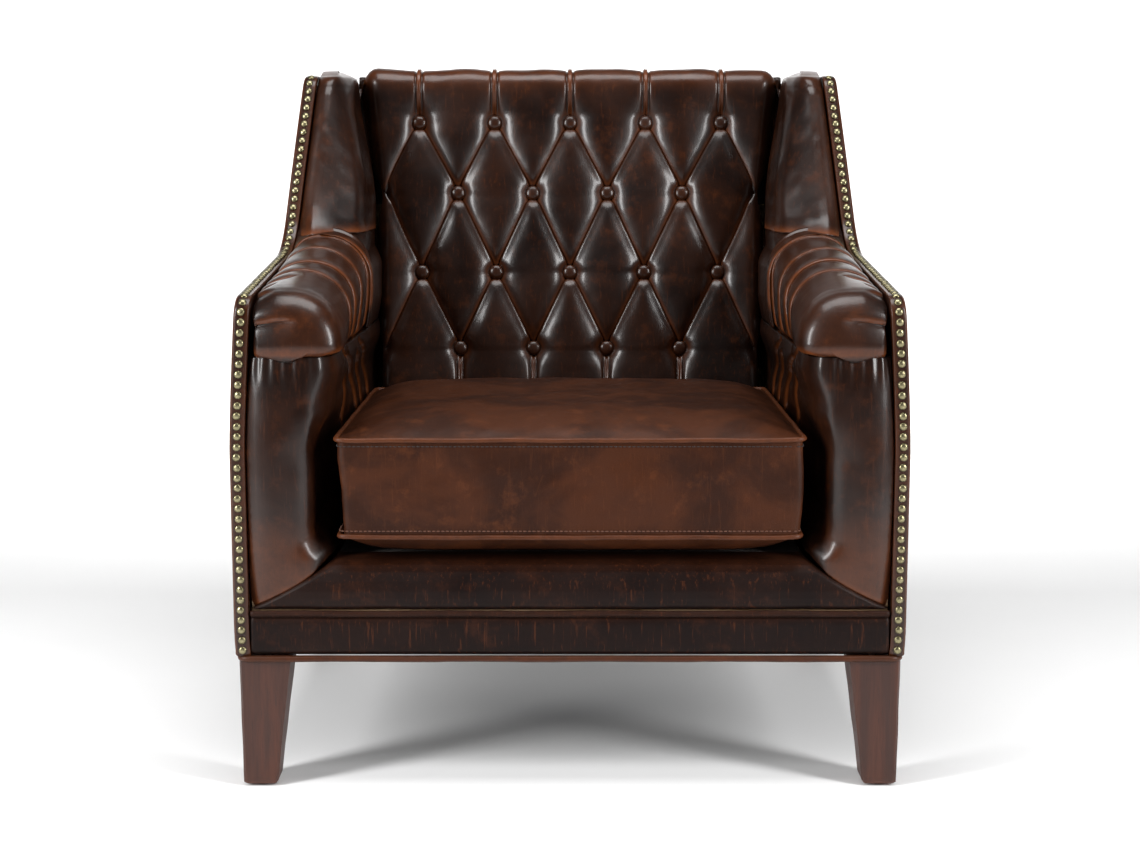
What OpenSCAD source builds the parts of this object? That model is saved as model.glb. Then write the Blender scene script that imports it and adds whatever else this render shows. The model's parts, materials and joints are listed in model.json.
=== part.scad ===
// Button-back club armchair with a loose seat cushion, as the separate pieces it is built from.
// Millimetres. +Z is up and the chair faces -Y. The origin is on the floor, under the middle of the
// bounding box. Inside this file depth runs from the front border (0) to the back, and place() then
// moves every piece into the origin's frame. "Left" and "right" are as seen from in front.

/* [Body] */
// Width over the side panels at their widest
body_w = 864; // [850:1:890]
// Clear width between the inside arms
seat_w = 606; // [600:1:612]
// Depth of the body at the base, front border to outside back
base_depth = 661; // [655:1:680]
// How far the outside back leans back between base and top
back_lean = 85; // [70:1:95]
// Height of the wings
wing_top = 930; // [915:1:945]
// Height of the tufted back
back_top = 946; // [940:1:955]
// Thickness of the side panels with their leather
panel_t = 20; // [18:1:22]
// Height of the nail line at the front of the arm
arm_top = 640; // [630:1:650]
// Rise of the arm towards the wing, in degrees
arm_rise = 6; // [3:0.5:8]
// Lean of the wing's front edge from the horizontal, in degrees
wing_lean = 66; // [62:1:70]

/* [Base and legs] */
// Underside of the seat rails
rail_z = 178; // [170:1:186]
// Height of the seat rails
rail_h = 84; // [76:1:84]
// Thickness of the frame timber
rail_t = 30; // [26:1:32]
// Width of a leg at its top
leg_top_w = 66; // [60:1:68]
// Width of a leg at its foot
leg_foot_w = 44; // [38:1:48]
// Height of a glide
glide_h = 3; // [2:0.5:5]

/* [Seat cushion] */
// Width of the cushion over its piping
cushion_w = 603; // [590:1:604]
// Depth of the cushion over its piping
cushion_d = 518; // [500:1:519]
// Height of the boxing between the two pipings
boxing_h = 125; // [110:1:130]
// Height of the crown above the upper piping
crown_h = 28; // [15:1:35]
// Diameter of all piping
piping_d = 8; // [6:0.5:9]

/* [Buttons and nails] */
// Diameter of a covered button
button_d = 19; // [16:0.5:22]
// Depth of the buttons below the crests
button_sink = 24; // [18:1:26]
// Diameter of a nail head
nail_d = 10.4; // [9:0.1:11]
// Spacing of the nails along their line
nail_pitch = 13.2; // [12:0.1:16]

/* [Hidden] */
LEFT = -1;
RIGHT = 1;
FAR = 900;                                 // longer than any piece
gap = 0.3;                                 // clearance between pieces that only touch

// heights
body_z = rail_z - 1.5;                     // underside of the panels, and of the dust cover
welt_z = body_z - 8.5;                     // underside of the base piping
rail_top = rail_z + rail_h;
deck_z = 301;                              // top of the deck
tuck_z = 555;                              // where the arm roll is tucked in under itself
piping_low_z = 333;                        // lower piping of the cushion
piping_high_z = piping_low_z + boxing_h;
lower_border_top = 228;
upper_border_bottom = lower_border_top + piping_d + 0.5;

// side outline of arm and wing, in depth and height
arm_r = 28;                                // front corner of the arm
sweep_r = 90;                              // hollow where the arm turns up into the wing
wing_r = 28;                               // front corner of the wing's top
wing_foot = [408, 735];                    // a point on the wing's front edge
arm_corner = [arm_r, arm_top - arm_r];
wing_slope = [cos(wing_lean), sin(wing_lean)];
arm_slope = [cos(arm_rise), sin(arm_rise)];
arm_start = arm_corner + arm_r * [-sin(arm_rise), cos(arm_rise)];
sweep_step = sweep_r * [sin(wing_lean) - sin(arm_rise), cos(arm_rise) - cos(wing_lean)];
arm_run = cross(wing_foot - arm_start - sweep_step, wing_slope) / cross(arm_slope, wing_slope);
sweep_centre = arm_start + arm_run * arm_slope + sweep_r * [-sin(arm_rise), cos(arm_rise)];
wing_end_z = wing_top - wing_r * (1 - cos(wing_lean));
wing_end = wing_foot + wing_slope * (wing_end_z - wing_foot[1]) / wing_slope[1];
wing_corner = wing_end + wing_r * [sin(wing_lean), -cos(wing_lean)];

// inside back: its crests lie in one leaning plane above the cushion
back_foot = [515, 460];                    // depth and height where the plane starts
back_head = [600, 930];
back_rake = atan((back_head[0] - back_foot[0]) / (back_head[1] - back_foot[1]));
cover_t = 30;                              // leather and wadding of the tufted back
button_rows = [521, 637, 758, 866];        // height of each row of buttons
button_counts = [4, 5, 4, 5];
foam_low = [628, 330];                     // back of the foam, depth and height
foam_high = [687, 900];

// legs and their bolts
leg_x = body_w / 2 - 38;
front_leg_y = 37;
rear_leg_y = 623;
rear_foot_shift = 59;                      // how far the rear feet are set back
bolt_r = 4;
insert_r = 6;

cushion_front = -11;
welt_r = 3;                                // radius of the piping round the outside back
welt_top = wing_top - 6;                   // height of its top run, the rearmost line of all
mid_y = (cushion_front + back_y(welt_top) + 2 * welt_r) / 2;

// ---- helper functions ----

// Depth of the outside back at a height
function back_y(z) = base_depth + (z - 165) * back_lean / 765;

// Depth of the inside back's crests at a height
function crest_y(z) = z < back_foot[1] ? back_foot[0]
    : back_foot[0] + (z - back_foot[1]) * tan(back_rake);

// Depth of the back of the foam at a height
function foam_y(z) = foam_low[0]
    + (z - foam_low[1]) * (foam_high[0] - foam_low[0]) / (foam_high[1] - foam_low[1]);

// Half width over the side panels: upright below, leaning in towards the wing's top
function outer_x(z) = body_w / 2
    - (z > 440 ? 36 * pow((z - 440) / 490, 1.3) : 0)
    - (z < 215 ? 3 * pow((215 - z) / 50, 2) : 0);

function arc(c, r, a0, a1, n = 8) =
    [for (i = [0 : n]) c + r * [cos(a0 + (a1 - a0) * i / n), sin(a0 + (a1 - a0) * i / n)]];

// Outline of arm and wing as depth and height, moved inwards by d
function side_points(d = 0) = concat(
    [[d, body_z]],
    arc(arm_corner, arm_r - d, 180, 90 + arm_rise),
    arc(sweep_centre, sweep_r + d, arm_rise - 90, wing_lean - 90, 10),
    arc(wing_corner, wing_r - d, wing_lean + 90, 90),
    [[back_y(wing_top) - d - 8, wing_top - d], [back_y(wing_top - 8) - d, wing_top - d - 8],
     [back_y(body_z) - d, body_z]]
);

// The nail line runs up the front, along the arm and up the wing: lengths of its five stretches
stretches = [
    arm_corner[1] - body_z,
    arm_r * (90 - arm_rise) * PI / 180,
    arm_run,
    sweep_r * (wing_lean - arm_rise) * PI / 180,
    norm(wing_end - sweep_centre - sweep_r * [sin(wing_lean), -cos(wing_lean)]),
    wing_r * wing_lean * PI / 180
];
function sum_to(n) = n == 0 ? 0 : stretches[n - 1] + sum_to(n - 1);

// Point and outward angle [depth, height, angle] at a distance s along the nail line
function nail_at(s) =
    s < sum_to(1) ? [0, body_z + s, 180]
    : s < sum_to(2) ? on_arc(arm_corner, arm_r, 180 - (s - sum_to(1)) / arm_r * 180 / PI, 0)
    : s < sum_to(3) ? on_line(arm_start, arm_slope, s - sum_to(2), 90 + arm_rise)
    : s < sum_to(4) ? on_arc(sweep_centre, sweep_r,
                             arm_rise - 90 + (s - sum_to(3)) / sweep_r * 180 / PI, 180)
    : s < sum_to(5) ? on_line(wing_end - wing_slope * stretches[4], wing_slope,
                              s - sum_to(4), 90 + wing_lean)
    : on_arc(wing_corner, wing_r, wing_lean + 90 - (s - sum_to(5)) / wing_r * 180 / PI, 0);
function on_arc(c, r, a, turn) = [c[0] + r * cos(a), c[1] + r * sin(a), a + turn];
function on_line(p, v, s, a) = [p[0] + v[0] * s, p[1] + v[1] * s, a];

// Buttons as [x, height]
function button_pitch(z) = 113 + (z - button_rows[0]) * 4 / 345;
buttons = [
    for (row = [0 : len(button_rows) - 1], i = [0 : button_counts[row] - 1])
        [(i - (button_counts[row] - 1) / 2) * button_pitch(button_rows[row]), button_rows[row]]
];

// A tube of radius r swept along points, each ring square to the path
function unit(v) = v / norm(v);
function tangent(path, i) = unit(path[min(i + 1, len(path) - 1)] - path[max(i - 1, 0)]);
function ring(p, t, r, sides) =
    let (u = unit(cross(t, abs(t[2]) > 0.9 ? [0, 1, 0] : [0, 0, 1])), v = cross(t, u))
    [for (k = [0 : sides - 1]) p + r * (cos(360 * k / sides) * u + sin(360 * k / sides) * v)];
module tube(path, r, sides = 8) {
    n = len(path);
    points = [for (i = [0 : n - 1]) each ring(path[i], tangent(path, i), r, sides)];
    walls = [for (i = [0 : n - 2], k = [0 : sides - 1])
        let (a = i * sides + k, b = i * sides + (k + 1) % sides)
        each [[a, a + sides, b + sides], [a, b + sides, b]]];
    ends = [[for (k = [0 : sides - 1]) k],
            [for (k = [0 : sides - 1]) n * sides - 1 - k]];
    polyhedron(points, concat(walls, ends));
}

// ---- helper modules ----

module place() translate([0, -mid_y, 0]) children();
module on_side(side) mirror([side < 0 ? 1 : 0, 0, 0]) children();
module on_both() for (side = [LEFT, RIGHT]) on_side(side) children();

// A box from its lowest to its highest corner
module block(low, high) translate(low) cube(high - low);

// An outline in depth and height, drawn out along X
module along_x(x0, x1) translate([x0, 0, 0]) rotate([90, 0, 90]) linear_extrude(x1 - x0) children();

// An outline in width and height, drawn out along the depth
module along_y(y0, y1) translate([0, y1, 0]) rotate([90, 0, 0]) linear_extrude(y1 - y0) children();

// The room between the side panels, in width and height, from x0 outwards
function room_x(z) = outer_x(max(z, body_z)) - panel_t - gap;
module inside_panels(x0) polygon(concat(
    [[x0, 0]], [for (z = [0 : 30 : 960]) [room_x(z), z]], [[x0, 960]]
));

// Stands a piece on the crest plane of the back, its own +Z facing out
module on_back(x, z) translate([x, crest_y(z), z]) rotate([90 - back_rake, 0, 0]) children();

// ---- seat frame ----

module front_rail() color("burlywood") difference() {
    block([-body_w / 2 + 53, 12, rail_z], [body_w / 2 - 53, 12 + rail_t, rail_top]);
    at_block_screws() screw_hole();
}

module rear_rail() color("burlywood") difference() {
    block([-body_w / 2 + 53, 613, rail_z], [body_w / 2 - 53, 613 + rail_t, rail_top]);
    at_block_screws() screw_hole();
}

module side_rail(side) color("burlywood") difference() {
    on_side(side) {
        block([body_w / 2 - 53, 12, rail_z], [body_w / 2 - 53 + rail_t, 648, rail_top]);
    }
    at_leg_tops() translate([0, 0, rail_z - 1]) cylinder(h = 29, r = insert_r, $fn = 48);
    at_block_screws() screw_hole();
}

module corner_blocks() color("tan") difference() {
    on_both() {
        block_corner(12 + rail_t, 1);
        block_corner(613, -1);
    }
    at_block_screws() screw_hole();
}
module block_corner(y, way)
    translate([0, 0, rail_z]) linear_extrude(50) polygon([
        [body_w / 2 - 53, y], [body_w / 2 - 123, y], [body_w / 2 - 53, y + way * 70]
    ]);

// Two screws hold each corner block to the front or rear rail, and one to the side rail
module corner_block_screws() color("silver") at_block_screws() screw();
module at_block_screws() on_both() for (y = [12 + rail_t, 613]) {
    way = y > 300 ? -1 : 1;
    for (z = [rail_z + 11, rail_z + 39])
        translate([body_w / 2 - 85, y, z]) rotate([way * 90, 0, 0]) children();
    translate([body_w / 2 - 53, y + way * 30, rail_z + 25]) rotate([0, 90, 0]) children();
}
screw_r = 2;
module screw() translate([0, 0, -22]) {
    cylinder(h = 2.5, r = 2 * screw_r, $fn = 24);
    translate([0, 0, 2]) cylinder(h = 38, r = screw_r, $fn = 24);
}
module screw_hole() {
    translate([0, 0, -60]) cylinder(h = 40.5, r = 2 * screw_r + 0.4, $fn = 24);
    translate([0, 0, -20]) cylinder(h = 38.3, r = screw_r + 0.05, $fn = 24);
}

// ---- arm, wing and back frame ----

module arm_post(side) color("burlywood") on_side(side)
    block([335, 30, rail_top], [395, 60, tuck_z + rail_t]);

module arm_top_rail(side) color("burlywood") on_side(side)
    block([335, 30, tuck_z + rail_t], [395, 652, arm_top - 28]);

module arm_tack_rail(side) color("burlywood") on_side(side)
    block([335, 60 + gap, deck_z], [365, 598, deck_z + 25]);

module arm_board(side) color("peru") on_side(side)
    block([323, 200, deck_z], [335, 590, tuck_z - 3]);

module back_post(side) color("burlywood") on_side(side) along_x(335, 365) polygon([
    [back_y(rail_top) - 55, rail_top], [back_y(rail_top) - 10, rail_top],
    [back_y(900) - 10, 900], [back_y(900) - 55, 900]
]);

module back_top_rail() color("burlywood") block([-334.5, 690, 860], [334.5, 722, 900]);

module back_lower_rail() color("burlywood") block([-334.5, 635, 330], [334.5, 661, 370]);

module wing_board(side) color("peru") on_side(side) intersection() {
    along_x(335, 353) polygon(side_points(27));
    along_x(330, 360) polygon([
        [385, arm_top - 27], [back_y(arm_top - 27) - 56, arm_top - 27],
        [back_y(900) - 56, 900], [385, 900]
    ]);
}

// ---- legs ----

// A square of width w with rounded corners, 1 mm high
module leg_slice(x, y, z, w) translate([x, y, z]) linear_extrude(1)
    offset(r = 3, $fn = 16) square(w - 6, center = true);

module leg(side, y, foot_shift) color("saddlebrown") on_side(side) difference() {
    union() {
        hull() {
            leg_slice(leg_x, y, welt_z - 1, leg_top_w);
            leg_slice(leg_x + (leg_top_w - leg_foot_w) / 2 - 2, y + foot_shift, glide_h + 4,
                      leg_foot_w);
            leg_slice(leg_x + (leg_top_w - leg_foot_w) / 2 - 2, y + foot_shift, glide_h,
                      leg_foot_w - 5);
        }
        translate([leg_x - 26, y - 26, welt_z - 1]) cube([51, 52, body_z - welt_z + 1]);
    }
    translate([leg_x, y, rail_z - 60]) cylinder(h = 70, r = bolt_r, $fn = 48);
}
module front_leg(side) leg(side, front_leg_y, -9);
module rear_leg(side) leg(side, rear_leg_y, rear_foot_shift);

// Each leg hangs on a bolt that is screwed into an insert in the side rail
module at_leg_tops() on_both()
    for (y = [front_leg_y, rear_leg_y]) translate([leg_x, y, 0]) children();

module leg_bolts() color("silver") at_leg_tops()
    translate([0, 0, rail_z - 59]) cylinder(h = 84, r = bolt_r - 0.1, $fn = 48);

module leg_inserts() color("goldenrod") at_leg_tops() translate([0, 0, rail_z]) difference() {
    cylinder(h = 25, r = insert_r - 0.1, $fn = 48);
    translate([0, 0, -1]) cylinder(h = 27, r = bolt_r, $fn = 48);
}

module leg_glides() color("dimgray") on_both()
    for (y = [front_leg_y - 9, rear_leg_y + rear_foot_shift])
        translate([leg_x + (leg_top_w - leg_foot_w) / 2 - 2, y, 0])
            cylinder(h = glide_h, r = 12, $fn = 48);

// ---- base ----

module dust_cover() color("black") difference() {
    block([-body_w / 2 + 23, 12, body_z], [body_w / 2 - 23, 648, rail_z]);
    at_leg_tops() translate([0, 0, body_z - 1]) cylinder(h = 4, r = bolt_r + 0.5, $fn = 48);
}

module base_piping() color("saddlebrown") translate([0, 0, welt_z]) linear_extrude(8.5)
    difference() {
        base_outline(0);
        base_outline(9);
    }
module base_outline(inset) polygon([
    [-body_w / 2 + 2 + inset, -3 + inset], [body_w / 2 - 2 - inset, -3 + inset],
    [body_w / 2 - 2 - inset, base_depth + 4 - inset], [-body_w / 2 + 2 + inset, base_depth + 4 - inset]
]);

// ---- seat ----

spring_rungs = 16;
spring_length = 590;
spring_wire = 1.9;
function spring_path(x) = [
    for (i = [0 : 4 * spring_rungs])
        let (t = i / (4 * spring_rungs))
        [x + 24 * sin(90 * i), 34 + spring_length * t + 5 * sin(180 * i),
         rail_top + spring_wire + 0.6 + 9 * sin(180 * t)]
];
spring_xs = [-220, -110, 0, 110, 220];

module seat_springs() color("darkgray") for (x = spring_xs) tube(spring_path(x), spring_wire, 6);

// A folded steel clip holds each end of each spring on its rail
module spring_clips() color("lightgray") for (x = spring_xs, end = [0, 1])
    translate([x - 8, 0, 0]) along_x(0, 16) translate([end * 658, 0]) mirror([end, 0])
        polygon([
            [16, rail_top + 0.1], [30, rail_top + 0.1], [30, rail_top + 0.5], [20, rail_top + 0.5],
            [20, rail_top + 5.5], [38, rail_top + 5.5], [38, rail_top + 6.5], [16, rail_top + 6.5]
        ]);

module deck_pad() color("ivory")
    block([-seat_w / 2 + 1, 60.5, deck_z - 18], [seat_w / 2 - 1, 505, deck_z - 3]);

module deck_cover() color("sienna")
    block([-seat_w / 2 + 0.5, 60.5, deck_z - 3], [seat_w / 2 - 0.5, 505, deck_z]);

// The seam between arm and border runs slanting from the seat corner to the nail line
seam_top = [seat_w / 2, deck_z];
seam_foot = [body_w / 2 - panel_t - gap, upper_border_bottom];

module front_border_upper() color("saddlebrown") difference() {
    intersection() {
        along_x(-FAR / 2, FAR / 2) polygon([
            [0, upper_border_bottom], [-3, 250], [-3, 266], [2, 281], [10, 292], [22, 299],
            [34, deck_z], [60, deck_z], [60, deck_z - 26], [11.7, deck_z - 26],
            [11.7, upper_border_bottom]
        ]);
        along_y(-20, 80) polygon([
            [-seam_foot[0], seam_foot[1]], [seam_foot[0], seam_foot[1]],
            [seam_top[0] - gap, seam_top[1]], [-seam_top[0] + gap, seam_top[1]]
        ]);
    }
    on_both() block([334, 29, rail_top - 1], [430, 100, deck_z + 1]);
}

module front_border_lower() color("saddlebrown")
    block([-body_w / 2 + 22, 0, body_z + 0.5], [body_w / 2 - 22, 11.7, lower_border_top]);

module border_piping() color("saddlebrown")
    translate([-body_w / 2 + 22, 2, lower_border_top + piping_d / 2 + 0.25])
        rotate([0, 90, 0]) cylinder(h = body_w - 44, d = piping_d, $fn = 48);

// ---- arms ----

// Inside arm and the front of the arm, in one soft wall round the corner
module arm_inside(side) color("saddlebrown") on_side(side) difference() {
    intersection() {
        translate([0, 0, 200]) linear_extrude(tuck_z - 203) polygon([
            [seat_w / 2, 500], [seat_w / 2, 70], [306, 40], [316, 16], [333, 1], [352, -4],
            [385, -4], [430, 2], [430, 28], [322, 28], [322, 500]
        ]);
        along_y(-20, FAR) polygon([
            seam_top + [0, gap], seam_foot + [0, gap],
            [outer_x(400) - panel_t - gap, 400], [outer_x(tuck_z) - panel_t - gap, tuck_z],
            [seat_w / 2, tuck_z]
        ]);
    }
    block([300, 11.7, 100], [430, 100, deck_z]);
}

// Cross-section of the arm roll in width and height: crest height z, set in by d
module roll_slice(y, z, d) translate([0, y, 0]) along_y(0, 1) polygon([
    [293 + d, tuck_z + d], [284 + d, tuck_z + 20], [281 + d, 600], [285 + d, z - 44],
    [298 + d, z - 22], [325, z - 5 - d / 2], [350, z - d], [378, z - 7 - d / 2],
    [405 - d, z - 22 - d], [405 - d, tuck_z + d]
]);

module arm_roll(side) color("saddlebrown") on_side(side) difference() {
    intersection() {
        hull() {
            roll_slice(-6, arm_top + 8, 14);
            roll_slice(14, arm_top + 22, 0);
            roll_slice(379, arm_top + 60, 0);
        }
        along_y(-20, FAR) inside_panels(200);
    }
    block([334, 29, 500], [430, FAR, arm_top - 28 + gap]);
}

// The wing's padding lies on the inside of its board and wraps round the front and the top
module wing_pad(side) color("saddlebrown") on_side(side) difference() {
    intersection() {
        along_x(200, 420) polygon(side_points());
        along_y(380 + gap, 680) intersection() {
            inside_panels(200);
            polygon([[seat_w / 2, tuck_z], [seat_w / 2, 745], [330, 950], [430, 950], [430, tuck_z]]);
        }
        along_x(200, 420) polygon([
            [380, tuck_z], [back_y(tuck_z) - 58, tuck_z], [back_y(950) - 58, 950], [380, 950]
        ]);
    }
    along_x(331, 430) intersection() {
        polygon(side_points(26));
        polygon([[300, 0], [FAR, 0], [FAR, FAR], [300, FAR]]);
    }
    block([331, 300, 500], [430, FAR, arm_top - 28 + gap]);
}

// ---- back ----

module back_cover() color("saddlebrown") difference() {
    intersection() {
        along_x(-FAR / 2, FAR / 2) polygon([
            [back_foot[0] - 3, deck_z + 2], back_foot, [crest_y(925), 925], [606, back_top - 8],
            [618, back_top], [724, back_top], [back_y(back_top) - 12, back_top - 8],
            [back_y(910) - 9, 910], [crest_y(910) + cover_t, 910],
            [back_foot[0] + cover_t, back_foot[1]], [back_foot[0] + cover_t - 3, deck_z + 2]
        ]);
        along_y(400, FAR) polygon([
            [-300, deck_z], [300, deck_z], [300, 745], [326, 950], [-326, 950], [-300, 745]
        ]);
    }
    for (b = buttons) on_back(b[0], b[1]) {
        translate([0, 0, -button_sink])
            cylinder(h = button_sink + 3, r1 = button_d / 2 + 0.5, r2 = 27, $fn = 48);
        translate([0, 0, -60]) cylinder(h = 60, r = 2, $fn = 24);
    }
}

module back_foam() color("ivory") difference() {
    along_x(-288, 288) polygon([
        [back_foot[0] + cover_t + gap, foam_low[1] + 4],
        [back_foot[0] + cover_t + gap, back_foot[1]], [crest_y(905) + cover_t + gap, 905],
        [foam_y(905) - gap, 905], [foam_y(foam_low[1] + 4) - gap, foam_low[1] + 4]
    ]);
    for (b = buttons) on_back(b[0], b[1]) translate([0, 0, -200]) cylinder(h = 200, r = 6, $fn = 32);
}

module back_buttons() color("saddlebrown") for (b = buttons) on_back(b[0], b[1])
    translate([0, 0, -button_sink + gap]) rotate_extrude($fn = 48) polygon([
        [0, 0], [button_d / 2 - 1, 0], [button_d / 2, 1.5], [button_d / 2 - 1.5, 4],
        [button_d / 2 - 4.5, 5.6], [0, 6.4]
    ]);

// Each button is tied through the foam to the webbing
module button_twines() color("wheat") for (b = buttons)
    on_back(b[0], b[1]) translate([0, 0, -button_sink - twine_length(b[1])])
        cylinder(h = twine_length(b[1]), r = 1.2, $fn = 24);
function twine_length(z) = (foam_y(z) - crest_y(z)) * cos(back_rake) - button_sink - 6;

module back_webbing() color("khaki") {
    for (x = [-210, -70, 70, 210]) along_x(x - 25, x + 25) strap(335, 895, 0);
    for (z = [450, 580, 710]) along_x(-334, 334) strap(z - 25, z + 25, 2.5);
}
module strap(z0, z1, behind) polygon([
    [foam_y(z0) + gap + behind, z0], [foam_y(z0) + gap + behind + 2, z0],
    [foam_y(z1) + gap + behind + 2, z1], [foam_y(z1) + gap + behind, z1]
]);

module outside_back() color("saddlebrown") intersection() {
    along_x(-FAR / 2, FAR / 2) polygon([
        [back_y(body_z) - 8, body_z], [back_y(body_z), body_z],
        [back_y(wing_top - 8), wing_top - 8], [back_y(wing_top - 8) - 8, wing_top - 8]
    ]);
    along_y(400, FAR) polygon(concat(
        [for (z = [0 : 30 : 960]) [room_x(z), z]], [for (z = [960 : -30 : 0]) [-room_x(z), z]]
    ));
}

// Piping round the outside back, over the joint with the side panels
module back_piping() color("saddlebrown") {
    side = [for (i = [0 : 24]) welt_point(0, body_z + 8 + i * (welt_top - body_z - 18) / 24)];
    corner = [for (a = [15 : 15 : 90]) welt_point(10 * (1 - cos(a)), welt_top - 10 + 10 * sin(a))];
    half = concat(side, corner);
    tube(concat(half, [for (i = [len(half) - 1 : -1 : 0]) [-half[i][0], half[i][1], half[i][2]]]),
         welt_r);
}
function welt_point(inset, z) = [outer_x(z) - panel_t - inset, back_y(z) + welt_r, z];

// ---- side panels and nails ----

module outside_panel(side) color("saddlebrown") on_side(side) intersection() {
    along_x(0, body_w / 2 + 1) polygon(side_points());
    along_y(-20, FAR) polygon(concat(
        [for (z = [body_z, 190, 215, 300, 440, for (z = [480 : 30 : 930]) z, 960]) [outer_x(z), z]],
        [for (z = [960, for (z = [930 : -30 : 480]) z, 440, 300, 215, 190, body_z])
            [outer_x(z) - panel_t, z]]
    ));
}

nail_count = floor((sum_to(6) - 8) / nail_pitch);
module nail_trim(side) color("darkkhaki") on_side(side) for (i = [0 : nail_count]) {
    p = nail_at(8 + i * nail_pitch);
    translate([outer_x(p[1]) - 10, p[0], p[1]]) rotate([p[2] - 90, 0, 0]) nail();
}
module nail() {
    translate([0, 0, -10]) cylinder(h = 11, r = 0.9, $fn = 24);
    cylinder(h = 1.2, r1 = nail_d / 2, r2 = nail_d / 2 - 0.7, $fn = 24);
    translate([0, 0, 1.2]) cylinder(h = 1.4, r1 = nail_d / 2 - 0.7, r2 = nail_d / 2 - 3, $fn = 24);
}

// ---- seat cushion ----

// The cushion's form, set in by d: straight boxing, crowned above and below
module cushion_form(d) {
    x = cushion_w / 2 - 6.5 - d;
    y0 = cushion_front + 7 + d;
    y1 = cushion_front + cushion_d - 7 - d;
    hull() {
        block([-x, y0, piping_low_z + d / 2], [x, y1, piping_high_z - d / 2]);
        block([-x + 45, y0 + 40, deck_z + 12 + d], [x - 45, y1 - 40, piping_high_z + crown_h * 0.65 - d]);
        block([-x + 110, y0 + 100, deck_z + 1.5 + d], [x - 110, y1 - 100, piping_high_z + crown_h - d]);
    }
}

// Leather with the fibre wrap sewn inside it
wrap_t = 7.7;
module cushion_cover() color("saddlebrown") difference() {
    cushion_form(0);
    cushion_form(wrap_t);
}

module cushion_foam() color("ivory") cushion_form(wrap_t + gap);

module cushion_piping(z) color("sienna") translate([0, 0, z - piping_d / 2]) linear_extrude(piping_d)
    difference() {
        piping_outline(0);
        piping_outline(6.2);
    }
module piping_outline(inset) translate([-cushion_w / 2 + inset, cushion_front + inset])
    square([cushion_w - 2 * inset, cushion_d - 2 * inset]);

zip_y = cushion_front + cushion_d - 7 + 0.2;   // depth of the zipper tape's inner face
zip_z = 395;
module cushion_zipper() color("dimgray") {
    block([-250, zip_y, zip_z - 15], [250, zip_y + 1.2, zip_z + 15]);
    block([-246, zip_y + 1.2, zip_z - 3], [246, zip_y + 2.8, zip_z + 3]);
}

module zip_slider() color("silver") difference() {
    union() {
        block([-240, zip_y + 1.5, zip_z - 5], [-228, zip_y + 4.4, zip_z + 5]);
        block([-237, zip_y + 4.4, zip_z - 26], [-231, zip_y + 5.4, zip_z + 3]);
    }
    block([-260, zip_y, zip_z - 3.3], [-200, zip_y + 3.1, zip_z + 3.3]);
    translate([-234, zip_y, zip_z - 21]) rotate([-90, 0, 0]) cylinder(h = 10, r = 1.5, $fn = 24);
}

// ---- one line for each piece ----

place() front_rail();
place() rear_rail();
place() side_rail(LEFT);  // side_rail_left
place() side_rail(RIGHT);  // side_rail_right
place() corner_blocks();
place() corner_block_screws();
place() arm_post(LEFT);  // arm_post_left
place() arm_post(RIGHT);  // arm_post_right
place() arm_top_rail(LEFT);  // arm_top_rail_left
place() arm_top_rail(RIGHT);  // arm_top_rail_right
place() arm_tack_rail(LEFT);  // arm_tack_rail_left
place() arm_tack_rail(RIGHT);  // arm_tack_rail_right
place() arm_board(LEFT);  // arm_board_left
place() arm_board(RIGHT);  // arm_board_right
place() back_post(LEFT);  // back_post_left
place() back_post(RIGHT);  // back_post_right
place() back_top_rail();
place() back_lower_rail();
place() wing_board(LEFT);  // wing_board_left
place() wing_board(RIGHT);  // wing_board_right
place() front_leg(LEFT);  // front_leg_left
place() front_leg(RIGHT);  // front_leg_right
place() rear_leg(LEFT);  // rear_leg_left
place() rear_leg(RIGHT);  // rear_leg_right
place() leg_bolts();
place() leg_inserts();
place() leg_glides();
place() dust_cover();
place() base_piping();
place() seat_springs();
place() spring_clips();
place() deck_pad();
place() deck_cover();
place() front_border_upper();
place() front_border_lower();
place() border_piping();
place() arm_inside(LEFT);  // arm_inside_left
place() arm_inside(RIGHT);  // arm_inside_right
place() arm_roll(LEFT);  // arm_roll_left
place() arm_roll(RIGHT);  // arm_roll_right
place() wing_pad(LEFT);  // wing_pad_left
place() wing_pad(RIGHT);  // wing_pad_right
place() back_cover();
place() back_foam();
place() back_buttons();
place() button_twines();
place() back_webbing();
place() outside_back();
place() back_piping();
place() outside_panel(LEFT);  // outside_panel_left
place() outside_panel(RIGHT);  // outside_panel_right
place() nail_trim(LEFT);  // nail_trim_left
place() nail_trim(RIGHT);  // nail_trim_right
place() cushion_cover();
place() cushion_foam();
place() cushion_piping(piping_high_z);  // cushion_piping_top
place() cushion_piping(piping_low_z);  // cushion_piping_bottom
place() cushion_zipper();
place() zip_slider();
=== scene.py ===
"""Button-back club armchair: the visible pieces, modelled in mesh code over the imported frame.

Every shape below is worked out in chair coordinates (x, depth, z), in metres, where depth runs back from
the front border; Piece moves them into the row frame. side is -1 for the left of the chair as seen from
in front, and 1 for the right.
"""
import json
import math

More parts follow.
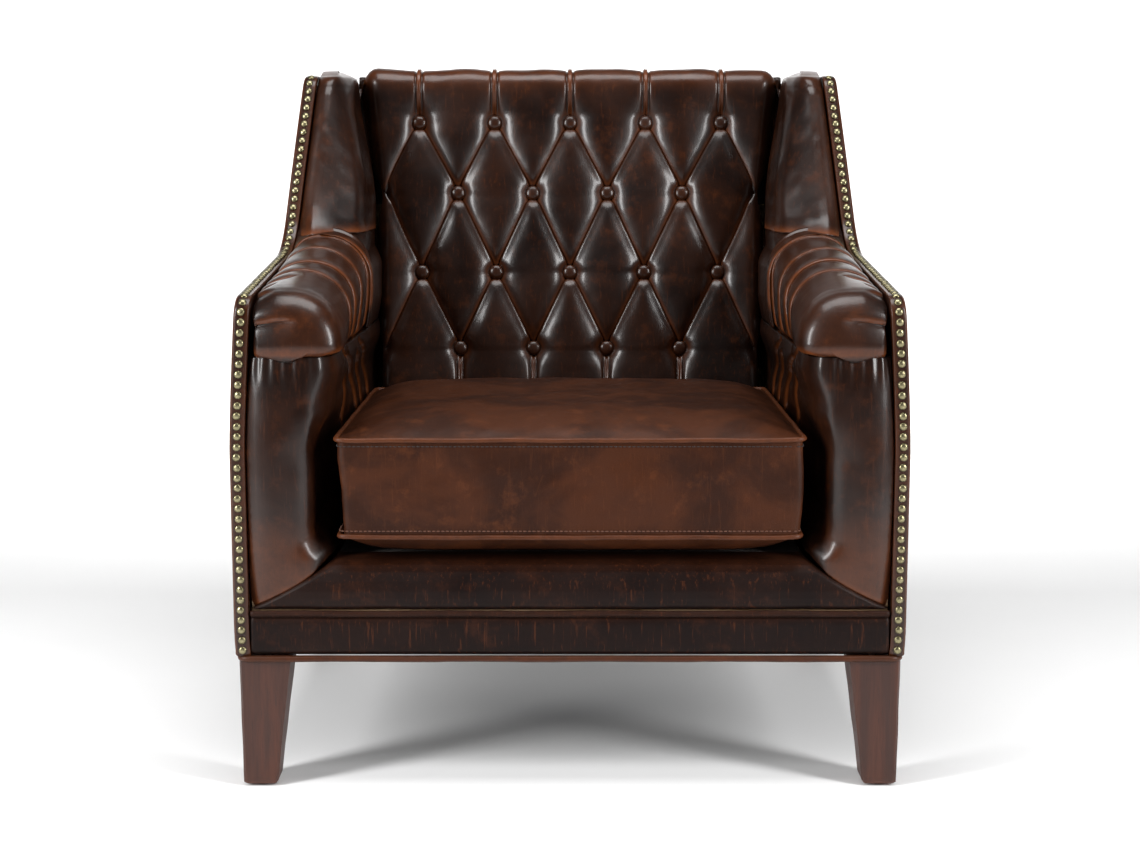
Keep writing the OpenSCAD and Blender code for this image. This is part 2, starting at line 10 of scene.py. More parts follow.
import bmesh
import bpy
import numpy as np
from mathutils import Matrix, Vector


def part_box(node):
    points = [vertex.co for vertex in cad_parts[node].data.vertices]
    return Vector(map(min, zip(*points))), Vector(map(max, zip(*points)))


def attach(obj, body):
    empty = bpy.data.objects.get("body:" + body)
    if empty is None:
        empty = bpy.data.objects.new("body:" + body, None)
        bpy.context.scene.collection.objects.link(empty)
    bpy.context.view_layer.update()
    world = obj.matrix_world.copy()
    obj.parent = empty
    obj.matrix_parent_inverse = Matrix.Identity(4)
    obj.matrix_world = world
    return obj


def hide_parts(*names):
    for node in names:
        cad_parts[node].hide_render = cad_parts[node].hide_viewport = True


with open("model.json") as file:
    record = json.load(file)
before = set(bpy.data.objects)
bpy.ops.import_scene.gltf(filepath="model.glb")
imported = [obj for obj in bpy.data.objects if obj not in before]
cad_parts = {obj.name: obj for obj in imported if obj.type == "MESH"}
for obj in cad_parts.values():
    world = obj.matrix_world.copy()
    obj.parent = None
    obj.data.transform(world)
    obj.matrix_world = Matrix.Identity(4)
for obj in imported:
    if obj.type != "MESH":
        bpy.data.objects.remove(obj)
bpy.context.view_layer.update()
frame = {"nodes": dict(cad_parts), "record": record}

LEFT, RIGHT = -1, 1
FRONT_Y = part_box("outside_panel_right")[0][1]        # depth 0 in the row frame
BODY_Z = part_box("outside_panel_right")[0][2]         # underside of the panels
BODY_W = 2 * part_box("outside_panel_right")[1][0]
WING_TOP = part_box("outside_panel_right")[1][2]
BACK_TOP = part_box("back_cover")[1][2]
PANEL_T = 0.020
BASE_DEPTH = 0.661
BACK_LEAN = 0.085


# ---------------------------------------------------------------- numbers

def smooth(t):
    t = np.clip(t, 0.0, 1.0)
    return t * t * (3 - 2 * t)


def bell(d, width):
    return np.exp(-(d / width) ** 2)


def ripple(points, size, seed, waves=9):
    """Soft irregularity between about -1 and 1, made of a few slanted waves."""
    rng = np.random.RandomState(seed)
    total = np.zeros(points.shape[:-1])
    for _ in range(waves):
        direction = rng.normal(size=3)
        direction *= rng.uniform(0.6, 1.6) * 2 * math.pi / size / np.linalg.norm(direction)
        total += np.sin(points @ direction + rng.uniform(0, 6.28))
    return total / math.sqrt(waves) / 1.4


def back_y(z):
    """Depth of the outside back at a height."""
    return BASE_DEPTH + (z - 0.165) * BACK_LEAN / 0.765


def outer_x(z):
    """Half width over the side panels."""
    z = np.asarray(z, float)
    return (BODY_W / 2 - 0.036 * (np.clip(z - 0.440, 0, None) / 0.490) ** 1.3
            - 0.003 * (np.clip(0.215 - z, 0, None) / 0.050) ** 2)


def inner_x(z):
    """Inside face of the side panels."""
    return outer_x(z) - PANEL_T - 0.0006


# ---------------------------------------------------------------- side outline and nail line

ARM_TOP, ARM_R, ARM_RISE = 0.640, 0.028, math.radians(6)
SWEEP_R, WING_R, WING_LEAN = 0.090, 0.028, math.radians(66)
WING_FOOT = np.array([0.408, 0.735])


def heading(a):
    return np.array([math.cos(a), math.sin(a)])


def cross(a, b):
    return a[0] * b[1] - a[1] * b[0]


arm_corner = np.array([ARM_R, ARM_TOP - ARM_R])
arm_start = arm_corner + ARM_R * heading(ARM_RISE + math.pi / 2)
sweep_step = SWEEP_R * np.array([math.sin(WING_LEAN) - math.sin(ARM_RISE),
                                 math.cos(ARM_RISE) - math.cos(WING_LEAN)])
arm_run = cross(WING_FOOT - arm_start - sweep_step, heading(WING_LEAN)) / cross(heading(ARM_RISE),
    heading(WING_LEAN))
sweep_centre = arm_start + arm_run * heading(ARM_RISE) + SWEEP_R * heading(ARM_RISE + math.pi / 2)
wing_end_z = WING_TOP - WING_R * (1 - math.cos(WING_LEAN))
wing_end = WING_FOOT + heading(WING_LEAN) * (wing_end_z - WING_FOOT[1]) / math.sin(WING_LEAN)
wing_corner = wing_end + WING_R * np.array([math.sin(WING_LEAN), -math.cos(WING_LEAN)])
wing_start = sweep_centre + SWEEP_R * heading(WING_LEAN - math.pi / 2)


def arc(centre, r, a0, a1, n):
    return [centre + r * heading(a) for a in np.linspace(a0, a1, n)]


def nail_line():
    """The front edge of a side panel from the base to the wing's top, as dense points."""
    points = [np.array([0.0, z]) for z in np.linspace(BODY_Z, arm_corner[1], 60)[:-1]]
    points += arc(arm_corner, ARM_R, math.pi, ARM_RISE + math.pi / 2, 14)
    points += [arm_start + heading(ARM_RISE) * s for s in np.linspace(0, arm_run, 50)[1:-1]]
    points += arc(sweep_centre, SWEEP_R, ARM_RISE - math.pi / 2, WING_LEAN - math.pi / 2, 24)
    points += [wing_start + (wing_end - wing_start) * s for s in np.linspace(0, 1, 40)[1:-1]]
    points += arc(wing_corner, WING_R, WING_LEAN + math.pi / 2, math.pi / 2, 12)
    return np.array(points)


NAIL_LINE = nail_line()


def along(path, s):
    """Points at distances s along a dense path."""
    steps = np.concatenate([[0], np.cumsum(np.linalg.norm(np.diff(path, axis=0), axis=1))])
    return np.stack([np.interp(s, steps, path[:, k]) for k in range(path.shape[1])], -1)


def length(path):
    return float(np.linalg.norm(np.diff(path, axis=0), axis=1).sum())


def edge_depth(z):
    """Depth of the panels' front edge at a height."""
    return np.interp(z, NAIL_LINE[:, 1], NAIL_LINE[:, 0])


def edge_height(depth):
    """Height of the arm's nail line at a depth."""
    upper = NAIL_LINE[NAIL_LINE[:, 1] > arm_corner[1]]
    return np.interp(depth, upper[:, 0], upper[:, 1])


# ---------------------------------------------------------------- meshes

class Piece:
    """Points, faces and masks of one mesh. Masks are kept per point: one where the leather is paler from
    rubbing, which on the back's pleat lips and the nail domes also holds a painted highlight, and one of
    painted shade, dark in folds, button recesses and gaps between parts."""

    def __init__(self):
        self.points, self.faces, self.wear, self.crease, self.count = [], [], [], [], 0

    def add(self, points, faces, wear=None, crease=None):
        points = np.asarray(points, float).reshape(-1, 3)
        n = len(points)
        self.points.append(points)
        self.faces += [[i + self.count for i in f] for f in faces]
        self.wear.append(np.zeros(n) if wear is None else np.broadcast_to(np.asarray(wear, float).ravel(),
            (n,)))
        self.crease.append(np.zeros(n) if crease is None else np.broadcast_to(np.asarray(crease,
            float).ravel(), (n,)))
        self.count += n

    def pad(self, front, back, wear=None, crease=None):
        """A closed form between two grids of the same size."""
        nu, nv = front.shape[:2]
        n = nu * nv
        index = np.arange(n).reshape(nu, nv)
        quads = np.stack([index[:-1, :-1], index[1:, :-1], index[1:, 1:], index[:-1, 1:]], -1).reshape(-1, 4)
        rim = np.concatenate([index[:, 0], index[-1, 1:], index[-2::-1, -1], index[0, -2:0:-1]])
        after = np.roll(rim, -1)
        sides = np.stack([after, rim, rim + n, after + n], -1)
        faces = np.concatenate([quads, quads[:, ::-1] + n, sides]).tolist()
        zero = np.zeros(n)
        w = zero if wear is None else np.broadcast_to(wear, (nu, nv)).ravel()
        c = zero if crease is None else np.broadcast_to(crease, (nu, nv)).ravel()
        self.add(np.concatenate([front.reshape(-1, 3), back.reshape(-1, 3)]), faces,
                 np.concatenate([w, zero]), np.concatenate([c, c]))

    def tube(self, path, r, sides=10, closed=False, wear=0.5):
        """A round cord along a path."""
        path = np.asarray(path, float)
        n = len(path)
        ahead = np.roll(path, -1, 0) - np.roll(path, 1, 0)
        if not closed:
            ahead[0], ahead[-1] = path[1] - path[0], path[-1] - path[-2]
        t = ahead / np.linalg.norm(ahead, axis=1)[:, None]
        up = np.where(np.abs(t[:, 2:]) > 0.9, np.array([[0, 1.0, 0]]), np.array([[0, 0, 1.0]]))
        u = np.cross(t, up)
        u /= np.linalg.norm(u, axis=1)[:, None]
        v = np.cross(t, u)
        a = np.linspace(0, 2 * math.pi, sides, endpoint=False)
        r = np.broadcast_to(r, (n,))[:, None, None]
        rings = path[:,
                     None] + r * (np.cos(a)[None, :, None] * u[:, None] + np.sin(a)[None, :, None] * v[:,
                         None])
        self.rings(rings, closed, wear)

    def rings(self, rings, closed=False, wear=0.0, crease=0.0):
        """A stack of rings with the same number of points, capped at both ends unless closed."""
        n, m = rings.shape[:2]
        index = np.arange(n * m).reshape(n, m)
        nxt = np.roll(index, -1, 1)
        rows = range(n) if closed else range(n - 1)
        faces = [[int(index[i, k]), int(index[(i + 1) % n, k]), int(nxt[(i + 1) % n, k]), int(nxt[i, k])]
                 for i in rows for k in range(m)]
        if not closed:
            faces += [index[0].tolist(), index[-1][::-1].tolist()]
        w = np.broadcast_to(np.asarray(wear, float).reshape(-1, 1) if np.ndim(wear) == 1 else wear, (n, m))
        self.add(rings.reshape(-1, 3), faces, w, np.broadcast_to(crease, (n, m)))

    def build(self, name, body, material, replaces=(), sharp=None):
        points = np.concatenate(self.points)
        points[:, 1] += FRONT_Y
        mesh = bpy.data.meshes.new(name)
        mesh.from_pydata(points.tolist(), [], self.faces)
        # per-point masks: paler from rubbing, partly a painted highlight, and painted shade
        for key, values in (("wear", self.wear), ("crease", self.crease)):
            mesh.attributes.new(key, "FLOAT", "POINT").data.foreach_set("value", np.concatenate(values))
        tidy = bmesh.new()
        tidy.from_mesh(mesh)
        bmesh.ops.remove_doubles(tidy, verts=tidy.verts, dist=1e-6)
        bmesh.ops.recalc_face_normals(tidy, faces=tidy.faces)
        tidy.to_mesh(mesh)
        tidy.free()
        for p in mesh.polygons:
            p.use_smooth = True
        if sharp:
            mesh.set_sharp_from_angle(angle=math.radians(sharp))
        piece = bpy.data.objects.new(name, mesh)
        bpy.context.scene.collection.objects.link(piece)
        mesh.materials.append(material)
        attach(piece, body)
        if replaces:
            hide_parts(*replaces)
        return piece


# ---------------------------------------------------------------- materials

class Nodes:
    """Short names for building a material's nodes."""

    def __init__(self, name):
        self.material = bpy.data.materials.new(name)
        self.material.use_nodes = True
        self.tree = self.material.node_tree
        self.shader = self.tree.nodes["Principled BSDF"]
        self.coords = self.new("ShaderNodeTexCoord").outputs["Object"]

    def new(self, kind, **inputs):
        node = self.tree.nodes.new(kind)
        for key, value in inputs.items():
            self.put(node.inputs[key.replace("_", " ")], value)
        return node

    def put(self, socket, value):
        if isinstance(value, bpy.types.NodeSocket):
            self.tree.links.new(value, socket)
        else:
            socket.default_value = value

    def noise(self, scale, detail=4.0, stretch=(1, 1, 1), roughness=0.55, distortion=0.0):
        place = self.new("ShaderNodeMapping", Vector=self.coords, Scale=stretch)
        return self.new("ShaderNodeTexNoise", Vector=place.outputs[0], Scale=scale, Detail=detail,
                        Roughness=roughness, Distortion=distortion).outputs["Fac"]

    def step(self, value, low, high, to_low=0.0, to_high=1.0):
        node = self.new("ShaderNodeMapRange", Value=value)
        node.interpolation_type = "SMOOTHSTEP"
        for key, number in (("From Min", low), ("From Max", high), ("To Min", to_low), ("To Max", to_high)):
            node.inputs[key].default_value = number
        return node.outputs[0]

    def math(self, operation, a, b=0.0):
        node = self.tree.nodes.new("ShaderNodeMath")
        node.operation = operation
        self.put(node.inputs[0], a)
        self.put(node.inputs[1], b)
        return node.outputs[0]

    def mix(self, factor, a, b, blend="MIX"):
        node = self.tree.nodes.new("ShaderNodeMix")
        node.data_type, node.blend_type = "RGBA", blend
        self.put(node.inputs["Factor"], factor)
        self.put(node.inputs["A"], a if isinstance(a, bpy.types.NodeSocket) else (*a, 1.0))
        self.put(node.inputs["B"], b if isinstance(b, bpy.types.NodeSocket) else (*b, 1.0))
        return node.outputs["Result"]

    def mask(self, name):
        node = self.tree.nodes.new("ShaderNodeAttribute")
        node.attribute_name = name
        return node.outputs["Fac"]

    def cells(self, scale, stretch=(1, 1, 1), feature="F1"):
        place = self.new("ShaderNodeMapping", Vector=self.coords, Scale=stretch)
        node = self.new("ShaderNodeTexVoronoi", Vector=place.outputs[0], Scale=scale)
        node.feature = feature
        return node.outputs["Distance"]

    def bump(self, *layers):
        """Each layer is (height, how deep in metres)."""
        normal = None
        for height, depth in layers:
            node = self.new("ShaderNodeBump", Height=height, Strength=1.0, Distance=depth)
            if normal is not None:
                self.put(node.inputs["Normal"], normal)
            normal = node.outputs[0]
        self.put(self.shader.inputs["Normal"], normal)

    def finish(self, colour, roughness, metallic=0.0, coat=0.0, coat_roughness=0.1, sheen=0.0):
        self.put(self.shader.inputs["Base Color"], colour)
        self.put(self.shader.inputs["Roughness"], roughness)
        self.shader.inputs["Metallic"].default_value = metallic
        self.shader.inputs["Coat Weight"].default_value = coat
        self.shader.inputs["Coat Roughness"].default_value = coat_roughness
        self.shader.inputs["Sheen Weight"].default_value = sheen
        return self.material


def leather(name, dark, mid, worn_and_highlight_tone, gloss, coat, mottle=0.5, hairs=0.15, cloud=9.0, shine=0.5):
    """Waxed pull-up leather: mottled, with painted shade darkening folds, recesses and gaps, and paler warm
    brown from rubbing on folds, which on the back's pleat lips is a painted highlight.
    """
    n = Nodes(name)
    spread = 0.16 / (0.4 + mottle)
    broad = n.step(n.noise(cloud, 6.0, roughness=0.62, distortion=0.6), 0.48 - spread, 0.52 + spread)
    colour = n.mix(broad, dark, mid)
    patches = n.step(n.noise(31.0, 5.0, roughness=0.7), 0.52, 0.72, 0.0, 0.35 * mottle)
    colour = n.mix(patches, colour, worn_and_highlight_tone)
    fibres = n.step(n.noise(260.0, 3.0, (1, 1, 0.06), 0.75), 0.56, 0.70, 0.0, hairs)
    slants = n.step(n.noise(75.0, 3.0, (1, 1, 0.18), 0.8, 0.9), 0.64, 0.72, 0.0, hairs * 0.8)
    colour = n.mix(n.math("MAXIMUM", fibres, slants), colour, worn_and_highlight_tone)
    # paler warm tone from rubbing; on the back's pleat lips this paints a highlight
    rub_and_highlight = n.math("MULTIPLY", n.mask("wear"),
                    n.step(n.noise(55.0, 4.0, roughness=0.7), 0.25, 0.62, 0.55, 1.0))
    colour = n.mix(rub_and_highlight, colour, worn_and_highlight_tone)
    # painted shade: near black where the shade mask marks folds, button recesses and gaps
    colour = n.mix(n.math("MULTIPLY", n.mask("crease"), 0.85), colour, tuple(c * 0.12 for c in dark))
    speckle = n.noise(1100.0, 2.0)
    colour = n.mix(n.step(speckle, 0.55, 0.75, 0.0, 0.22), colour, tuple(c * 0.6 for c in dark))
    grain = n.cells(780.0, feature="SMOOTH_F1")
    folds = n.noise(120.0, 5.0, roughness=0.65)
    n.bump((folds, 0.00022), (grain, 0.00012), (n.noise(18.0, 2.0), 0.0004))
    roughness = n.math("ADD", n.step(n.noise(14.0, 5.0), 0.3, 0.7, gloss - 0.05, gloss + 0.07),
                       n.math("MULTIPLY", rub_and_highlight, 0.06))
    n.shader.inputs["Specular IOR Level"].default_value = shine
    return n.finish(colour, roughness, coat=coat, coat_roughness=max(0.10, gloss - 0.14))


DARK_LEATHER = leather("dark_leather", (0.0050, 0.0013, 0.0005), (0.0175, 0.0050, 0.0018),
                       (0.135, 0.035, 0.0080),
                       0.33, 0.34, shine=0.22)
BORDER_LEATHER = leather("border_leather", (0.0045, 0.0012, 0.0007), (0.0100, 0.0030, 0.0015),
                         (0.085, 0.023, 0.0070),
                         0.52, 0.03, mottle=0.5, hairs=0.45, shine=0.14)
SEAT_LEATHER = leather("seat_leather", (0.0235, 0.0062, 0.0019), (0.048, 0.0128, 0.0036),
                       (0.100, 0.028, 0.0078),
                       0.50, 0.03, mottle=1.25, hairs=0.22, cloud=8.0, shine=0.15)
PIPING_LEATHER = leather("piping_leather", (0.015, 0.0042, 0.0016), (0.034, 0.0092, 0.0031),
                         (0.140, 0.038, 0.010),
                         0.44, 0.06, hairs=0.1, cloud=40.0, shine=0.22)


def brass():
    n = Nodes("antique_brass")
    tarnish = n.step(n.noise(420.0, 4.0, roughness=0.7), 0.35, 0.7)
    colour = n.mix(tarnish, (0.170, 0.145, 0.074), (0.060, 0.049, 0.026))
    # paler dome tops: partly real rubbing, partly a painted highlight
    colour = n.mix(n.math("MULTIPLY", n.mask("wear"), 0.75), colour, (0.36, 0.325, 0.19))
    # painted shade where the shade mask is set
    colour = n.mix(n.mask("crease"), colour, (0.02, 0.014, 0.008))
    n.bump((n.noise(900.0, 3.0), 0.0001))
    return n.finish(colour, n.step(tarnish, 0, 1, 0.26, 0.42), metallic=0.9)


def wood(name, dark, light, roughness, coat, scale=1.0, across=(1, 1, 0.06)):
    n = Nodes(name)
    rings = n.noise(42.0 * scale, 5.0, across, 0.6, 1.2)
    fine = n.noise(330.0 * scale, 3.0, across, 0.7)
    pores = n.step(n.noise(620.0 * scale, 2.0, across), 0.62, 0.7)
    colour = n.mix(n.step(rings, 0.32, 0.68), dark, light)
    colour = n.mix(n.step(fine, 0.4, 0.7, 0.0, 0.45), colour, dark)
    colour = n.mix(n.math("MULTIPLY", pores, 0.5), colour, tuple(c * 0.4 for c in dark))
    colour = n.mix(n.math("MULTIPLY", n.mask("wear"), 0.5), colour, tuple(min(1.0, c * 1.6) for c in light))
    n.bump((fine, 0.00012), (pores, 0.00008))
    return n.finish(colour, n.step(fine, 0.3, 0.7, roughness, roughness + 0.1), coat=coat, coat_roughness=0.2)


def woven(name, colour_a, colour_b, pitch, roughness=0.9):
    """Plain cloth: two crossing sets of threads."""
    n = Nodes(name)
    waves = []
    for axis in "XY":
        wave = n.new("ShaderNodeTexWave", Vector=n.coords, Scale=math.pi / 10 / pitch, Distortion=0.3)
        wave.bands_direction = axis
        waves.append(wave.outputs["Fac"])
    weave = n.math("MULTIPLY", waves[0], waves[1])
    shade = n.mix(weave, colour_a, colour_b)
    shade = n.mix(n.step(n.noise(30.0, 4.0), 0.35, 0.7, 0.0, 0.35), shade, colour_a)
    n.bump((weave, 0.0003))
    return n.finish(shade, roughness, sheen=0.15)


def foam():
    n = Nodes("foam")
    holes = n.cells(520.0)
    colour = n.mix(n.step(holes, 0.1, 0.5), (0.55, 0.50, 0.36), (0.80, 0.76, 0.62))
    colour = n.mix(n.step(n.noise(12.0), 0.4, 0.7, 0.0, 0.3), colour, (0.72, 0.62, 0.40))
    n.bump((holes, 0.0006))
    return n.finish(colour, 0.95)


def metal(name, colour_a, colour_b, roughness, stretch=(1, 1, 1)):
    n = Nodes(name)
    brushed = n.noise(300.0, 4.0, stretch, 0.7)
    shade = n.mix(n.step(brushed, 0.3, 0.7), colour_a, colour_b)
    n.bump((brushed, 0.00006))
    return n.finish(shade, n.step(brushed, 0.2, 0.8, roughness - 0.08, roughness + 0.1), metallic=1.0)


def plastic(name, colour):
    n = Nodes(name)
    scuffs = n.noise(140.0, 5.0, roughness=0.7)
    shade = n.mix(n.step(scuffs, 0.45, 0.75, 0.0, 0.5), colour, tuple(c * 1.9 + 0.02 for c in colour))
    n.bump((scuffs, 0.0002))
    return n.finish(shade, n.step(scuffs, 0.3, 0.7, 0.45, 0.65))


BRASS = brass()
LEG_WOOD = wood("leg_wood", (0.030, 0.0062, 0.0016), (0.062, 0.0135, 0.0034), 0.48, 0.05)
FRAME_WOOD = wood("beech", (0.42, 0.25, 0.13), (0.62, 0.42, 0.25), 0.6, 0.0, across=(0.06, 1, 1))
PLYWOOD = wood("plywood", (0.36, 0.22, 0.12), (0.55, 0.38, 0.22), 0.7, 0.0, scale=0.6)
DUST_CLOTH = woven("dust_cloth", (0.008, 0.008, 0.009), (0.030, 0.030, 0.032), 0.0012)
DECK_CLOTH = woven("deck_cloth", (0.022, 0.011, 0.008), (0.065, 0.036, 0.026), 0.0011)
WEBBING = woven("webbing", (0.28, 0.20, 0.11), (0.52, 0.41, 0.25), 0.0020)
TAPE = woven("zip_tape", (0.020, 0.012, 0.009), (0.060, 0.040, 0.030), 0.0008)
TWINE = woven("twine", (0.42, 0.33, 0.19), (0.68, 0.58, 0.38), 0.0012)
FOAM = foam()
STEEL = metal("steel", (0.36, 0.36, 0.37), (0.55, 0.55, 0.56), 0.36)
INSERT_BRASS = metal("insert_brass", (0.52, 0.38, 0.16), (0.70, 0.55, 0.27), 0.34)
GLIDE = plastic("glide_plastic", (0.025, 0.025, 0.026))
DARK_THREAD = woven("dark_thread", (0.010, 0.004, 0.003), (0.030, 0.012, 0.008), 0.0006, 0.7)
PALE_THREAD = woven("pale_thread", (0.10, 0.032, 0.012), (0.24, 0.085, 0.034), 0.0006, 0.7)

SLOT_MATERIALS = {
    "wood_frame": FRAME_WOOD, "plywood": PLYWOOD, "wood_leg": LEG_WOOD, "steel": STEEL,
    "brass_insert": INSERT_BRASS,
    "glide": GLIDE, "dust_cover": DUST_CLOTH, "padding": FOAM, "webbing": WEBBING, "twine": TWINE,
    "nail_brass": BRASS, "zip_tape": TAPE, "leather_dark": DARK_LEATHER, "leather_border": BORDER_LEATHER,
    "leather_seat": SEAT_LEATHER, "leather_piping": PIPING_LEATHER,
}
for part in frame["record"]["subparts"]:
    node = frame["nodes"][part["node"]]
    node.data.materials.clear()
    node.data.materials.append(SLOT_MATERIALS[part["material_slot"]])


# ---------------------------------------------------------------- tufted back

RAKE = math.atan2(0.085, 0.470)
PLANE_FOOT = np.array([0.515, 0.460])                # depth and height where the leaning plane starts
ROW_Z = np.array([0.521, 0.637, 0.758, 0.866])       # rows of buttons, from the lowest
ROW_COUNT = (4, 5, 4, 5)
ROW_S = (ROW_Z - PLANE_FOOT[1]) / math.cos(RAKE)     # the same, measured up the plane
TOP_R = 0.030                                        # rounding over the top
REAR_EDGE, REAR_R = 0.722, 0.012                     # where the cover turns down behind, and its rounding
BUTTON_DEPTH, CREASE_DEPTH = 0.0240, 0.0170
S_TURN = (BACK_TOP - 0.0010 - TOP_R * (1 - math.sin(RAKE)) - PLANE_FOOT[1]) / math.cos(RAKE)
TURN = math.pi / 2 - RAKE


def pitch(v):
    return 0.1130 + 0.00134 * v


def row_to_s(v):
    """Distance up the plane for a row number, which may be between rows or beyond them."""
    inside = np.interp(v, range(4), ROW_S)
    return inside + np.where(v > 3, (v - 3) * 0.110, 0) + np.where(v < 0, v * 0.116, 0)


def back_frame(s):
    """Point and outward normal, in depth and height, at a distance up the back and over its top."""
    up, out = np.array([math.sin(RAKE), math.cos(RAKE)]), np.array([-math.cos(RAKE), math.sin(RAKE)])
    s = np.asarray(s, float)[..., None]
    turn_end = PLANE_FOOT + up * S_TURN
    centre = turn_end - out * TOP_R
    a = np.clip((s - S_TURN) / TOP_R, 0, TURN)
    around = math.pi - RAKE - a                       # direction of the normal on the rounding
    normal = np.concatenate([np.cos(around), np.sin(around)], -1)
    point = np.where(s < S_TURN, PLANE_FOOT + up * s, centre + TOP_R * normal)
    normal = np.where(s < S_TURN, out, normal)
    over = s - S_TURN - TOP_R * TURN                  # along the flat top, then down behind
    level = REAR_EDGE - centre[0]
    point = point + np.clip(over, 0, level) * np.array([1.0, 0.0])
    b = np.clip((over - level) / REAR_R, 0, math.pi / 2)
    point = np.where(over > level, point + REAR_R * np.concatenate([np.sin(b), np.cos(b) - 1], -1), point)
    normal = np.where(over > level, np.concatenate([np.sin(b), np.cos(b)], -1), normal)
    point = point - np.clip(over - level - REAR_R * math.pi / 2, 0, None) * np.array([0.0, 1.0])
    low = s < 0
    point = np.where(low, PLANE_FOOT + s * np.array([0.02, 1.0]), point)
    normal = np.where(low, np.array([-1.0, 0.02]), normal)
    return point, normal


def back_half_width(z):
    return 0.3002 + 0.0262 * np.clip((z - 0.745) / 0.205, 0, 1)


def button_places():
    for row, count in enumerate(ROW_COUNT):
        for i in range(count):
            yield (i - (count - 1) / 2, float(row))


def crease_lines():
    """Diagonal pleats between neighbouring buttons, as pairs of (column, row)."""
    lines = []
    for row in range(3):
        columns = np.arange(-2.5, 2.6, 1.0) if row % 2 == 0 else np.arange(-2.0, 2.1, 1.0)
        for u in columns:
            for step in (-0.5, 0.5):
                if abs(u + step) <= 2.5:
                    lines.append(((u, row), (u + step, row + 1)))
    return lines


def flat(u, v):
    """Metric place on the unrolled back."""
    return np.stack([u * pitch(np.clip(v, 0, 3.4)), row_to_s(v)], -1)


def near_line(q, a, b):
    """Distance to the line a-b, signed (positive on its lower side), and how far along it."""
    run = b - a
    size = np.linalg.norm(run)
    t = np.clip(((q - a) @ run) / size ** 2, 0, 1)
    off = q - (a + t[..., None] * run)
    down = np.array([run[1], -run[0]]) / size
    down = down if down[1] < 0 else -down
    return np.linalg.norm(off, axis=-1), off @ down, t, down


